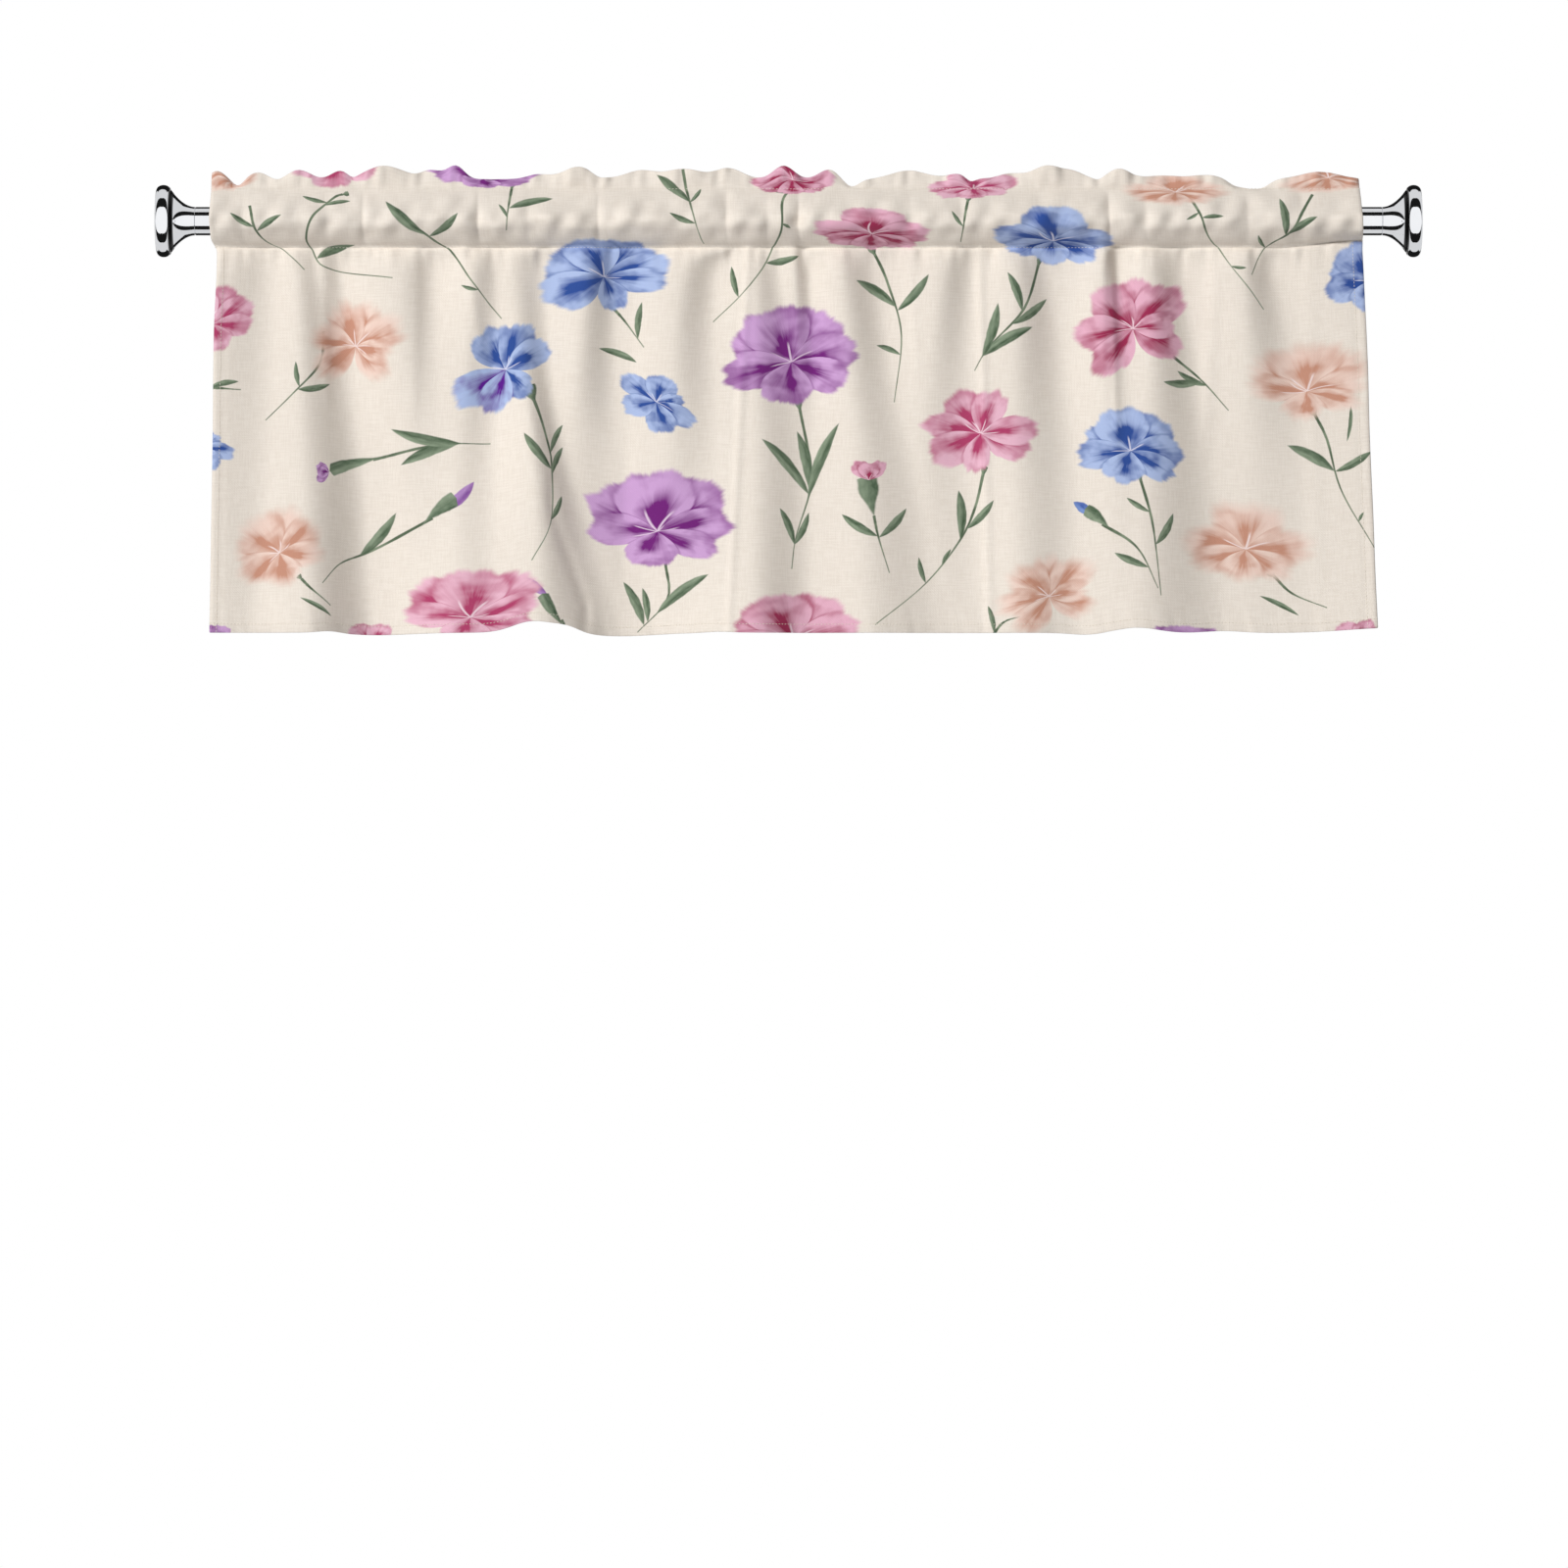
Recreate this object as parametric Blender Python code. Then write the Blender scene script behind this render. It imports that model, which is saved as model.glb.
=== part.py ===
"""Rod-pocket window valance hanging on a plain round rod with trumpet finials.

Metres, +Z up. The origin is on the rod's axis, at the middle of its length.
+X runs along the rod to the viewer's right, and -Y faces the viewer.

The valance is one closed solid: a skirt in soft folds, a pocket sewn round the
rod between two stitch lines, and a frilled heading above the pocket.
"""
import math
from collections import namedtuple

import bmesh
import bpy
from mathutils import Vector
from mathutils.geometry import tessellate_polygon

MM = 0.001

# Driving sizes of the rod and its finials, in metres
ROD_RADIUS = 0.014
ROD_SIDES = 32
END_TO_END = 1.2452
DISC_RADIUS = 0.0356
FACE_FLAT_RADIUS = 0.009
FACE_CROWN = 0.002
FACE_MIDDLE_RADIUS = 0.0195
FACE_MIDDLE_INWARDS = 0.0008
RIM_ROUNDING = 0.0055
RIM_ANGLES = (0.0, 30.0, 60.0, 90.0)
RIM_BACK_BEVEL = 0.0025
DISC_THICKNESS = 0.0155
TRUMPET_ROOT_RADIUS = 0.0305
TRUMPET_LENGTH = 0.0235
TRUMPET_STEPS = 5
TRUMPET_FLARE = 2.2
JOINT_GAP = 0.0003

# Driving sizes of the valance, in metres
CLOTH = 0.0016
STATIONS = 101
POCKET_LOW = -0.0255
POCKET_HIGH = 0.0315
POCKET_RADIUS = 0.0155
POCKET_ANGLES = (-40.0, -17.0, 6.0, 29.0)
POCKET_PUFF_SHARE = (0.75, 1.0, 0.95, 0.6)
FRONT_PUFF = 0.0042
BACK_PUFF = 0.0018
POCKET_RISE_AT_RIGHT_END = 0.0068
POCKET_RISE_WIDTH = 0.085
HEADING_BASE = 0.0412
HEADING_MIDDLE = 0.5
HEADING_MIDDLE_LEAN = 0.45
HEM_BASE = -0.4045
SEAM_ALLOWANCE = 0.008
HEM_DEPTH = 0.011
SKIRT_ROWS = (0.12, 0.26, 0.42, 0.60, 0.79)

# Levels at which the edge and fold tables give their values, top to bottom
EDGE_LEVELS = (0.050, -0.018, -0.030, -0.110, -0.240, -0.400)
LEFT_EDGE = (-0.5670, -0.5670, -0.5615, -0.5640, -0.5655, -0.5685)
RIGHT_EDGE = (0.5600, 0.5640, 0.5640, 0.5680, 0.5725, 0.5795)
FOLD_LEVELS = (-0.025, -0.045, -0.212, -0.390)
FOLD_FULLNESS = 1.45
FOLD_FADE = 2.0

# Finishes: colour, metallic value, roughness, and the angle past which an edge is sharp
CREAM_CLOTH = ((0.87, 0.82, 0.73), 0.0, 0.85, 50.0)
POLISHED_CHROME = ((0.80, 0.81, 0.83), 1.0, 0.08, 35.0)

# One row for each fold, left to right, in millimetres. Along its line the cloth
# steps back from a ridge on its left to a trough on its right. The columns are
# where the line crosses the four levels, half the width of the step at the
# lower three, and how far it steps back at the four, before FOLD_FULLNESS.
Fold = namedtuple("Fold", "seam top mid hem wide_top wide_mid wide_hem "
                          "deep_seam deep_top deep_mid deep_hem")
FOLDS = (
    Fold(-532, -526, -532, -538, 23, 27, 20, 3.0, 8, 9, 6),
    Fold(-474, -473, -452, -440, 13, 29, 33, 1.5, 9, 20, 25),
    Fold(-451, -449, -437, -428, 10, 19, 19, 1.0, 7, 2, 0),
    Fold(-363, -363, -362, -360, 17, 23, 23, 1.0, 9, 5, 0),
    Fold(-305, -299, -305, -309, 14, 21, 25, 3.5, 10, 9, 7),
    Fold(-247, -257, -238, -205, 19, 17, 42, 2.0, 10, 18, 29),
    Fold(-184, -184, -190, -158, 15, 27, 29, 4.0, 11, 14, 2),
    Fold(-59, -85, -95, -101, 17, 27, 29, 2.5, 9, 10, 0),
    Fold(-22, -21, -7, -7, 14, 29, 32, 3.0, 9, 16, 20),
    Fold(10, 13, 19, 24, 9, 10, 10, 4.0, 9, 1, 0),
    Fold(63, 67, 90, 116, 18, 29, 48, 2.0, 9, 16, 22),
    Fold(173, 167, 155, 173, 16, 27, 23, 3.5, 9, 10, 4),
    Fold(236, 239, 251, 253, 18, 33, 35, 2.5, 10, 15, 17),
    Fold(317, 316, 326, 332, 9, 16, 16, 6.0, 11, 4, 0),
    Fold(366, 371, 382, 385, 17, 35, 50, 3.0, 10, 20, 22),
    Fold(462, 462, 480, 486, 16, 33, 39, 2.0, 10, 9, 4),
)

# One row for each crest of the heading, in millimetres: its middle, how far it
# rises over the heading's base, its half width, and how far it leans back
Crest = namedtuple("Crest", "x rise half lean")
CRESTS = (
    Crest(-562, 8, 10, -3),
    Crest(-522, 7, 13, 3),
    Crest(-481, 9, 15, -3),
    Crest(-441, 8, 12, 3),
    Crest(-397, 13, 25, -5),
    Crest(-351, 9, 19, 4),
    Crest(-326, 12, 11, -3),
    Crest(-245, 5, 16, 4),
    Crest(-205, 12, 21, -6),
    Crest(-144, 9, 21, 5),
    Crest(-101, 10, 24, -4),
    Crest(-57, 11, 19, 4),
    Crest(-3, 13, 14, -6),
    Crest(42, 10, 14, 4),
    Crest(121, 9, 25, 6),
    Crest(170, 5, 16, -4),
    Crest(221, 6, 17, 4),
    Crest(257, 13, 19, -5),
    Crest(283, 7, 15, 2),
    Crest(328, 10, 15, -5),
    Crest(371, 4, 24, 4),
    Crest(414, 4, 19, -3),
    Crest(457, -9, 17, 5),
    Crest(526, 7, 27, -4),
)

# One row for each place where the pocket is drawn in against the rod, in
# millimetres: its middle, its half width, and the share of the puff it takes
Pinch = namedtuple("Pinch", "x half share")
PINCHES = (
    Pinch(-535, 14, 0.6),
    Pinch(-452, 15, 0.5),
    Pinch(-417, 8, 0.9),
    Pinch(-304, 9, 1.0),
    Pinch(-255, 9, 0.4),
    Pinch(-186, 10, 1.0),
    Pinch(-60, 9, 0.9),
    Pinch(-20, 10, 0.5),
    Pinch(11, 9, 1.0),
    Pinch(121, 16, 0.5),
    Pinch(171, 10, 0.5),
    Pinch(316, 9, 1.0),
    Pinch(352, 12, 0.6),
    Pinch(395, 16, 0.5),
    Pinch(452, 14, 0.7),
    Pinch(506, 14, 0.5),
)

# One row for each place where the hem rises or dips, in millimetres
Lift = namedtuple("Lift", "x rise half")
LIFTS = (
    Lift(-452, 2, 17),
    Lift(-400, -2, 45),
    Lift(-250, 11, 26),
    Lift(-216, 6, 20),
    Lift(-160, -3, 45),
    Lift(-62, 1, 18),
    Lift(292, -2, 22),
    Lift(335, 5, 27),
    Lift(420, 2, 25),
    Lift(579, 5, 60),
)


def clear_scene():
    for old in list(bpy.data.objects):
        bpy.data.objects.remove(old, do_unlink=True)


def blend(low, high, share):
    return low + (high - low) * share


def bell(distance, half):
    """A soft bump of height 1 that has faded out at about twice its half width."""
    return math.exp(-(distance / half) ** 2)


def ease(share):
    share = min(max(share, 0.0), 1.0)
    return share * share * (3.0 - 2.0 * share)


def through(levels, values, z):
    """A smooth value at height z, from values given at levels that run downwards."""
    if z >= levels[0]:
        return values[0]
    if z <= levels[-1]:
        return values[-1]
    step = next(i for i in range(len(levels) - 1) if z >= levels[i + 1])
    slopes = []
    for i in (step, step + 1):
        before = max(i - 1, 0)
        after = min(i + 1, len(levels) - 1)
        slopes.append((values[after] - values[before]) / (levels[after] - levels[before]))
    width = levels[step + 1] - levels[step]
    t = (z - levels[step]) / width
    from_start = values[step] + slopes[0] * width * t * (1.0 - t)
    from_end = values[step + 1] - slopes[1] * width * t * (1.0 - t)
    return blend(from_start, from_end, ease(t))


def step_back(share):
    """From -1 on a fold's ridge to +1 in its trough, fading to 0 on either side."""
    reach = abs(share)
    if reach <= 1.0:
        return math.sin(0.5 * math.pi * share)
    return math.copysign(bell(reach - 1.0, FOLD_FADE), share)


def fold_offset(x, z):
    """How far the skirt stands behind the rod's axis, along +Y."""
    offset = 0.0
    for fold in FOLDS:
        middles = (fold.seam, fold.top, fold.mid, fold.hem)
        halves = (fold.wide_top, fold.wide_top, fold.wide_mid, fold.wide_hem)
        depths = (fold.deep_seam, fold.deep_top, fold.deep_mid, fold.deep_hem)
        middle = through(FOLD_LEVELS, middles, z) * MM
        half = through(FOLD_LEVELS, halves, z) * MM
        depth = max(through(FOLD_LEVELS, depths, z), 0.0) * MM
        offset += 0.5 * depth * step_back((x - middle) / half)
    return FOLD_FULLNESS * offset


def pocket_rise(x):
    """The pocket's two stitch lines rise a little towards the right end."""
    start = RIGHT_EDGE[1] - POCKET_RISE_WIDTH
    return POCKET_RISE_AT_RIGHT_END * ease((x - start) / POCKET_RISE_WIDTH)


def heading_top(x):
    rise = sum(crest.rise * bell(x - crest.x * MM, crest.half * MM) for crest in CRESTS)
    return HEADING_BASE + rise * MM


def heading_lean(x):
    lean = sum(crest.lean * bell(x - crest.x * MM, crest.half * MM) for crest in CRESTS)
    return lean * MM


def puff(x):
    """Share of the pocket's slack that stands proud of the rod, from 0 to 1."""
    taken = sum(pinch.share * bell(x - pinch.x * MM, pinch.half * MM) for pinch in PINCHES)
    return max(1.0 - taken, 0.0)


def hem_bottom(x):
    rise = sum(lift.rise * bell(x - lift.x * MM, lift.half * MM) for lift in LIFTS)
    return HEM_BASE + rise * MM


def pocket_wall(along, side, radius, puff_depth):
    """Points of one wall of the pocket, upwards; side is -1 in front, 1 behind."""
    points = []
    for angle, share in zip(POCKET_ANGLES, POCKET_PUFF_SHARE):
        turn = math.radians(angle)
        out = radius * math.cos(turn) + puff_depth * share * puff(along)
        points.append((side * out, radius * math.sin(turn)))
    return points


def section(along):
    """Outer loop and pocket loop of the cloth at one place along the rod, as (y, z)."""
    low = POCKET_LOW + pocket_rise(along)
    high = POCKET_HIGH
    bottom = hem_bottom(along)
    low_y = fold_offset(along, low)
    heights = [bottom, bottom + HEM_DEPTH]
    heights += [blend(low, bottom, share) for share in reversed(SKIRT_ROWS)]
    heights += [low - SEAM_ALLOWANCE]
    skirt = [(fold_offset(along, z), z) for z in heights]

    top = heading_top(along)
    lean = heading_lean(along)
    heading = [(HEADING_MIDDLE_LEAN * lean, blend(high, top, HEADING_MIDDLE)), (lean, top)]

    front = [(y - CLOTH, z) for y, z in skirt]
    front += [(low_y - CLOTH, low)]
    front += pocket_wall(along, -1, POCKET_RADIUS + CLOTH, FRONT_PUFF)
    front += [(-CLOTH, high)]
    front += [(y - CLOTH, z) for y, z in heading]

    hem = skirt[:2]
    flap = skirt[-1]
    back = [(y + CLOTH, z) for y, z in hem]
    back += skirt[1:]
    back += [(flap[0] + CLOTH, flap[1])]
    back += [(low_y + CLOTH, low)]
    back += pocket_wall(along, 1, POCKET_RADIUS + CLOTH, BACK_PUFF)
    back += [(CLOTH, high)]
    back += [(y + CLOTH, z) for y, z in heading]

    pocket = [(low_y, low + CLOTH)]
    pocket += pocket_wall(along, -1, POCKET_RADIUS, FRONT_PUFF)
    pocket += [(0.0, high - CLOTH)]
    pocket += reversed(pocket_wall(along, 1, POCKET_RADIUS, BACK_PUFF))
    return front + back[::-1], pocket


def place(share, point):
    """A section's point set between the cloth's left and right edges."""
    y, z = point
    left = through(EDGE_LEVELS, LEFT_EDGE, z)
    right = through(EDGE_LEVELS, RIGHT_EDGE, z)
    return (blend(left, right, share), y, z)


def join_rings(mesh, rings):
    """Quads between each ring of vertices and the next one."""
    for ring, following in zip(rings, rings[1:]):
        for i in range(len(ring)):
            j = (i + 1) % len(ring)
            mesh.faces.new((ring[i], ring[j], following[j], following[i]))


def finish(mesh, name, look):
    """Turn a bmesh into a named object with its own material."""
    colour, metallic, roughness, crease_degrees = look
    bmesh.ops.recalc_face_normals(mesh, faces=mesh.faces)
    data = bpy.data.meshes.new(name)
    mesh.to_mesh(data)
    mesh.free()
    data.shade_smooth()
    data.set_sharp_from_angle(angle=math.radians(crease_degrees))
    piece = bpy.data.objects.new(name, data)
    bpy.context.scene.collection.objects.link(piece)
    material = bpy.data.materials.new(name + "_finish")
    material.use_nodes = True
    shader = material.node_tree.nodes["Principled BSDF"]
    shader.inputs["Base Color"].default_value = (*colour, 1.0)
    shader.inputs["Metallic"].default_value = metallic
    shader.inputs["Roughness"].default_value = roughness
    data.materials.append(material)
    return piece


def make_valance():
    mesh = bmesh.new()
    outer_rings = []
    pocket_rings = []
    for station in range(STATIONS):
        share = station / (STATIONS - 1)
        along = blend(LEFT_EDGE[1], RIGHT_EDGE[1], share)
        outer, pocket = section(along)
        outer_rings.append([mesh.verts.new(place(share, point)) for point in outer])
        pocket_rings.append([mesh.verts.new(place(share, point)) for point in pocket])
    join_rings(mesh, outer_rings)
    join_rings(mesh, pocket_rings)
    for end in (0, -1):
        loops = (outer_rings[end], pocket_rings[end])
        flat = [[Vector((v.co.y, v.co.z, 0.0)) for v in loop] for loop in loops]
        corners = loops[0] + loops[1]
        for a, b, c in tessellate_polygon(flat):
            mesh.faces.new((corners[a], corners[b], corners[c]))
    return finish(mesh, "valance", CREAM_CLOTH)


def turned(name, profile):
    """A closed solid turned about X from (x, radius) points; its ends are flat discs."""
    mesh = bmesh.new()
    rings = []
    for x, radius in profile:
        ring = []
        for side in range(ROD_SIDES):
            turn = 2.0 * math.pi * side / ROD_SIDES
            ring.append(mesh.verts.new((x, radius * math.cos(turn), radius * math.sin(turn))))
        rings.append(ring)
    join_rings(mesh, rings)
    mesh.faces.new(rings[0])
    mesh.faces.new(rings[-1])
    return finish(mesh, name, POLISHED_CHROME)


def finial_profile():
    """Distance inwards from the outer face, and radius, out to in."""
    points = [(0.0, FACE_FLAT_RADIUS), (FACE_MIDDLE_INWARDS, FACE_MIDDLE_RADIUS)]
    edge_radius = DISC_RADIUS - RIM_ROUNDING
    for angle in RIM_ANGLES:
        turn = math.radians(angle)
        inwards = FACE_CROWN + RIM_ROUNDING * (1.0 - math.cos(turn))
        points.append((inwards, edge_radius + RIM_ROUNDING * math.sin(turn)))
    points.append((DISC_THICKNESS - RIM_BACK_BEVEL, DISC_RADIUS))
    for step in range(TRUMPET_STEPS + 1):
        share = step / TRUMPET_STEPS
        radius = blend(ROD_RADIUS, TRUMPET_ROOT_RADIUS, (1.0 - share) ** TRUMPET_FLARE)
        points.append((DISC_THICKNESS + TRUMPET_LENGTH * share, radius))
    return points


def make_finial(name, side):
    profile = [(side * (0.5 * END_TO_END - inwards), radius)
               for inwards, radius in finial_profile()]
    return turned(name, profile)


def make_rod():
    half = 0.5 * END_TO_END - DISC_THICKNESS - TRUMPET_LENGTH - JOINT_GAP
    return turned("rod", [(-half, ROD_RADIUS), (half, ROD_RADIUS)])


clear_scene()
make_valance()
make_rod()
make_finial("finial_left", -1)
make_finial("finial_right", 1)
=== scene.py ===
# %% [markdown]
# # A printed rod-pocket valance on its rod
# A valance is a short curtain across the top of a window. This one is a single rectangle
# of printed cloth. Its top is turned over to the back and sewn down in two lines, which
# leaves a frilled heading above a pocket, and a plain metal rod runs through the pocket.
# The solids of the rod and of the hanging cloth are loaded first. They fix every size and
# place, and the lesson then makes the surfaces that are seen: a fine sheet of cloth with
# its print and weave, the sewing, and the turned and plated metal.

# %% Load the solids
import math
from collections import namedtuple

import bmesh
import bpy
import numpy as np
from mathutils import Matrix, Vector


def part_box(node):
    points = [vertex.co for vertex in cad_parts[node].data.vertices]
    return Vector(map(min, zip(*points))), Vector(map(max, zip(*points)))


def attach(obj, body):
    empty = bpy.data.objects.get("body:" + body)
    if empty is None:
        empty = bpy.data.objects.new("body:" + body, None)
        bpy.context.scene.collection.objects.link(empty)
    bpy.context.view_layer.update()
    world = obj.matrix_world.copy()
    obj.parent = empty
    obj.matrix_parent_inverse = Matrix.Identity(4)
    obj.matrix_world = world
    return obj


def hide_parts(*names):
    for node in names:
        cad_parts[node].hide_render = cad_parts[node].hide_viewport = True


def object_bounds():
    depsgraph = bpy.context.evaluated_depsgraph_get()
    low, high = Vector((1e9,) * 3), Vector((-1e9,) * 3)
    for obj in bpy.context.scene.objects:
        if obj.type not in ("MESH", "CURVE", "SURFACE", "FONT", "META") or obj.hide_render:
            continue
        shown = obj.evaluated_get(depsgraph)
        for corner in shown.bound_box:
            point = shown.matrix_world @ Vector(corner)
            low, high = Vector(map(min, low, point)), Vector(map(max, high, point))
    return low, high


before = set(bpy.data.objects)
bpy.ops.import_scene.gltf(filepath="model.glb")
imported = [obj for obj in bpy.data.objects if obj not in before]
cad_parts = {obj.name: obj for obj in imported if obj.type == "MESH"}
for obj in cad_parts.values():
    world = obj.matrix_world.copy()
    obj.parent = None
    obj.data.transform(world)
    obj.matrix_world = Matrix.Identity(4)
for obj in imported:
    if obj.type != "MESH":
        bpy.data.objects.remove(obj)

cad_low, cad_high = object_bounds()
rod_low, rod_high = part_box("rod")
MM = 0.001
print("solids:", ", ".join(sorted(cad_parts)))
print("whole box in mm:", [round(side / MM) for side in cad_high - cad_low])

# %% [markdown]
# ## The camera
# The picture is a straight product view: the rod is level, both finials show the same,
# and nothing gets smaller with distance. A long lens far away gives that flat look. The
# camera looks along +Y. It is aimed well below the part, so that the part fills the upper
# third of a square picture, as in the photograph.

# %% Place the camera
LENS = 200.0
SENSOR = 36.0
PICTURE_WIDTH = 1.539
PICTURE_MIDDLE = (-0.0045, -0.0160, -0.5534)

lens_data = bpy.data.cameras.new("camera")
lens_data.lens = LENS
lens_data.sensor_width = SENSOR
lens_data.clip_end = 60.0
camera = bpy.data.objects.new("camera", lens_data)
bpy.context.scene.collection.objects.link(camera)
distance = PICTURE_WIDTH * LENS / SENSOR
camera.location = (PICTURE_MIDDLE[0], PICTURE_MIDDLE[1] - distance, PICTURE_MIDDLE[2])
camera.rotation_euler = (math.radians(90.0), 0.0, 0.0)
bpy.context.scene.camera = camera
print("camera", round(distance, 2), "m in front of the cloth")

# %% [markdown]
# ## Lines through a few values
# The edges of the cloth and the places of its folds are given at a few heights only. A
# smooth line through those values gives every height between them. A straight line from
# one to the next would put a kink in every fold, so each stretch here is eased.

# %% Helpers for smooth lines
def mix(low, high, share):
    return low + (high - low) * share


def bell(gap, half):
    return np.exp(-(gap / half) ** 2)


def ease(share):
    share = np.clip(share, 0.0, 1.0)
    return share * share * (3.0 - 2.0 * share)


def through(levels, values, z):
    """Values at heights z, from values given at levels that run downwards."""
    levels = np.asarray(levels)
    z = np.clip(np.atleast_1d(z), levels[-1], levels[0])
    values = np.asarray(values, float)
    if values.ndim == 1:
        values = np.repeat(values[:, None], len(z), axis=1)
    last = len(levels) - 1
    step = np.clip(np.searchsorted(-levels, -z, side="right") - 1, 0, last - 1)
    column = np.arange(len(z))

    def slope(i):
        before = np.maximum(i - 1, 0)
        after = np.minimum(i + 1, last)
        return (values[after, column] - values[before, column]) / (levels[after] - levels[before])

    width = levels[step + 1] - levels[step]
    t = (z - levels[step]) / width
    from_start = values[step, column] + slope(step) * width * t * (1.0 - t)
    from_end = values[step + 1, column] - slope(step + 1) * width * t * (1.0 - t)
    return mix(from_start, from_end, ease(t))


print("halfway from 0 to 1 is eased to", float(ease(0.5)))

# %% [markdown]
# ## The folds of the skirt
# Cloth that is gathered on a rod falls in soft folds. Each row of the table below is one
# line where the cloth steps back from a ridge to a trough. The line may wander and widen
# on its way down, and it may fade out. These are the sizes that the solid of the cloth
# has, so the fine sheet lies on the solid. A cloth simulation would give other folds each
# time a setting changed, and these have to fall where the real ones do.

# %% The fold table
FOLD_LEVELS = (-0.025, -0.045, -0.212, -0.390)
FOLD_FULLNESS = 1.45
FOLD_FADE = 2.0
Fold = namedtuple("Fold", "seam top mid hem wide_top wide_mid wide_hem "
                          "deep_seam deep_top deep_mid deep_hem")
FOLDS = (
    Fold(-532, -526, -532, -538, 23, 27, 20, 3.0, 8, 9, 6),
    Fold(-474, -473, -452, -440, 13, 29, 33, 1.5, 9, 20, 25),
    Fold(-451, -449, -437, -428, 10, 19, 19, 1.0, 7, 2, 0),
    Fold(-363, -363, -362, -360, 17, 23, 23, 1.0, 9, 5, 0),
    Fold(-305, -299, -305, -309, 14, 21, 25, 3.5, 10, 9, 7),
    Fold(-247, -257, -238, -205, 19, 17, 42, 2.0, 10, 18, 29),
    Fold(-184, -184, -190, -158, 15, 27, 29, 4.0, 11, 14, 2),
    Fold(-59, -85, -95, -101, 17, 27, 29, 2.5, 9, 10, 0),
    Fold(-22, -21, -7, -7, 14, 29, 32, 3.0, 9, 16, 20),
    Fold(10, 13, 19, 24, 9, 10, 10, 4.0, 9, 1, 0),
    Fold(63, 67, 90, 116, 18, 29, 48, 2.0, 9, 16, 22),
    Fold(173, 167, 155, 173, 16, 27, 23, 3.5, 9, 10, 4),
    Fold(236, 239, 251, 253, 18, 33, 35, 2.5, 10, 15, 17),
    Fold(317, 316, 326, 332, 9, 16, 16, 6.0, 11, 4, 0),
    Fold(366, 371, 382, 385, 17, 35, 50, 3.0, 10, 20, 22),
    Fold(462, 462, 480, 486, 16, 33, 39, 2.0, 10, 9, 4),
)


def step_back(share):
    """From -1 on a fold's ridge to +1 in its trough, fading to 0 on either side."""
    reach = np.abs(share)
    inside = np.sin(0.5 * np.pi * np.clip(share, -1.0, 1.0))
    outside = np.sign(share) * bell(np.maximum(reach - 1.0, 0.0), FOLD_FADE)
    return np.where(reach <= 1.0, inside, outside)


def fold_offset(x, z):
    """How far the skirt stands behind the rod's axis."""
    z = np.broadcast_to(z, np.shape(x))
    offset = np.zeros(np.shape(x))
    for fold in FOLDS:
        middles = (fold.seam, fold.top, fold.mid, fold.hem)
        halves = (fold.wide_top, fold.wide_top, fold.wide_mid, fold.wide_hem)
        depths = (fold.deep_seam, fold.deep_top, fold.deep_mid, fold.deep_hem)
        middle = through(FOLD_LEVELS, middles, z) * MM
        half = through(FOLD_LEVELS, halves, z) * MM
        depth = np.maximum(through(FOLD_LEVELS, depths, z), 0.0) * MM
        offset += 0.5 * depth * step_back((x - middle) / half)
    return FOLD_FULLNESS * offset


print(len(FOLDS), "folds")

# %% [markdown]
# ## Fine creases
# Between the main folds are a few thin lines where the cloth was folded in its packet or
# pulled tight by the gathers, and one soft swelling near the left side. The solid leaves
# them out. Each row is a straight crease from one place to another, with how far it
# stands forward and how wide it is.

# %% The crease table
Crease = namedtuple("Crease", "x_top z_top x_low z_low height half")
CREASES = (
    Crease(-39, -30, -59, -400, 1.5, 4.0),
    Crease(188, -30, 198, -400, 1.7, 4.0),
    Crease(-233, -285, -199, -378, -2.2, 5.0),
    Crease(-459, -30, -455, -150, 0.9, 5.0),
    Crease(-365, -30, -369, -170, 1.0, 6.0),
    Crease(-318, -30, -296, -160, 0.9, 5.0),
    Crease(118, -30, 126, -130, 0.8, 5.0),
    Crease(421, -30, 411, -190, 1.1, 7.0),
    Crease(317, -30, 322, -200, 1.2, 4.0),
    Crease(512, -60, 519, -330, 0.7, 9.0),
    Crease(-150, -60, -163, -330, -0.8, 8.0),
    Crease(-570, -60, -578, -420, 5.4, 20.0),
)
CREASE_FADE = 0.030


def crease_offset(x, z):
    """Added to the folds: negative is forward, towards the viewer."""
    offset = np.zeros(np.shape(x))
    for crease in CREASES:
        share = np.clip((z / MM - crease.z_top) / (crease.z_low - crease.z_top), 0.0, 1.0)
        beyond = np.maximum(z / MM - crease.z_top, 0.0) + np.maximum(crease.z_low - z / MM, 0.0)
        middle = mix(crease.x_top, crease.x_low, share) * MM
        strength = bell(beyond * MM, CREASE_FADE)
        offset -= crease.height * MM * bell(x - middle, crease.half * MM) * strength
    return offset


print(len(CREASES), "fine creases")

# %% [markdown]
# ## The heading, the pocket and the hem
# The heading's upper edge is a fold of cloth that rises in small crests and leans to and
# fro. The pocket is wider than the rod, so it puffs out between places where the gathers
# draw it in. The hem is level but for a few places where a fold lifts it. Each has its
# own short table. Crests, pinches and lifts have the solid's sizes. The dips between crests
# are made here alone, and the front of the pocket puffs out a little more than the solid's.

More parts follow.
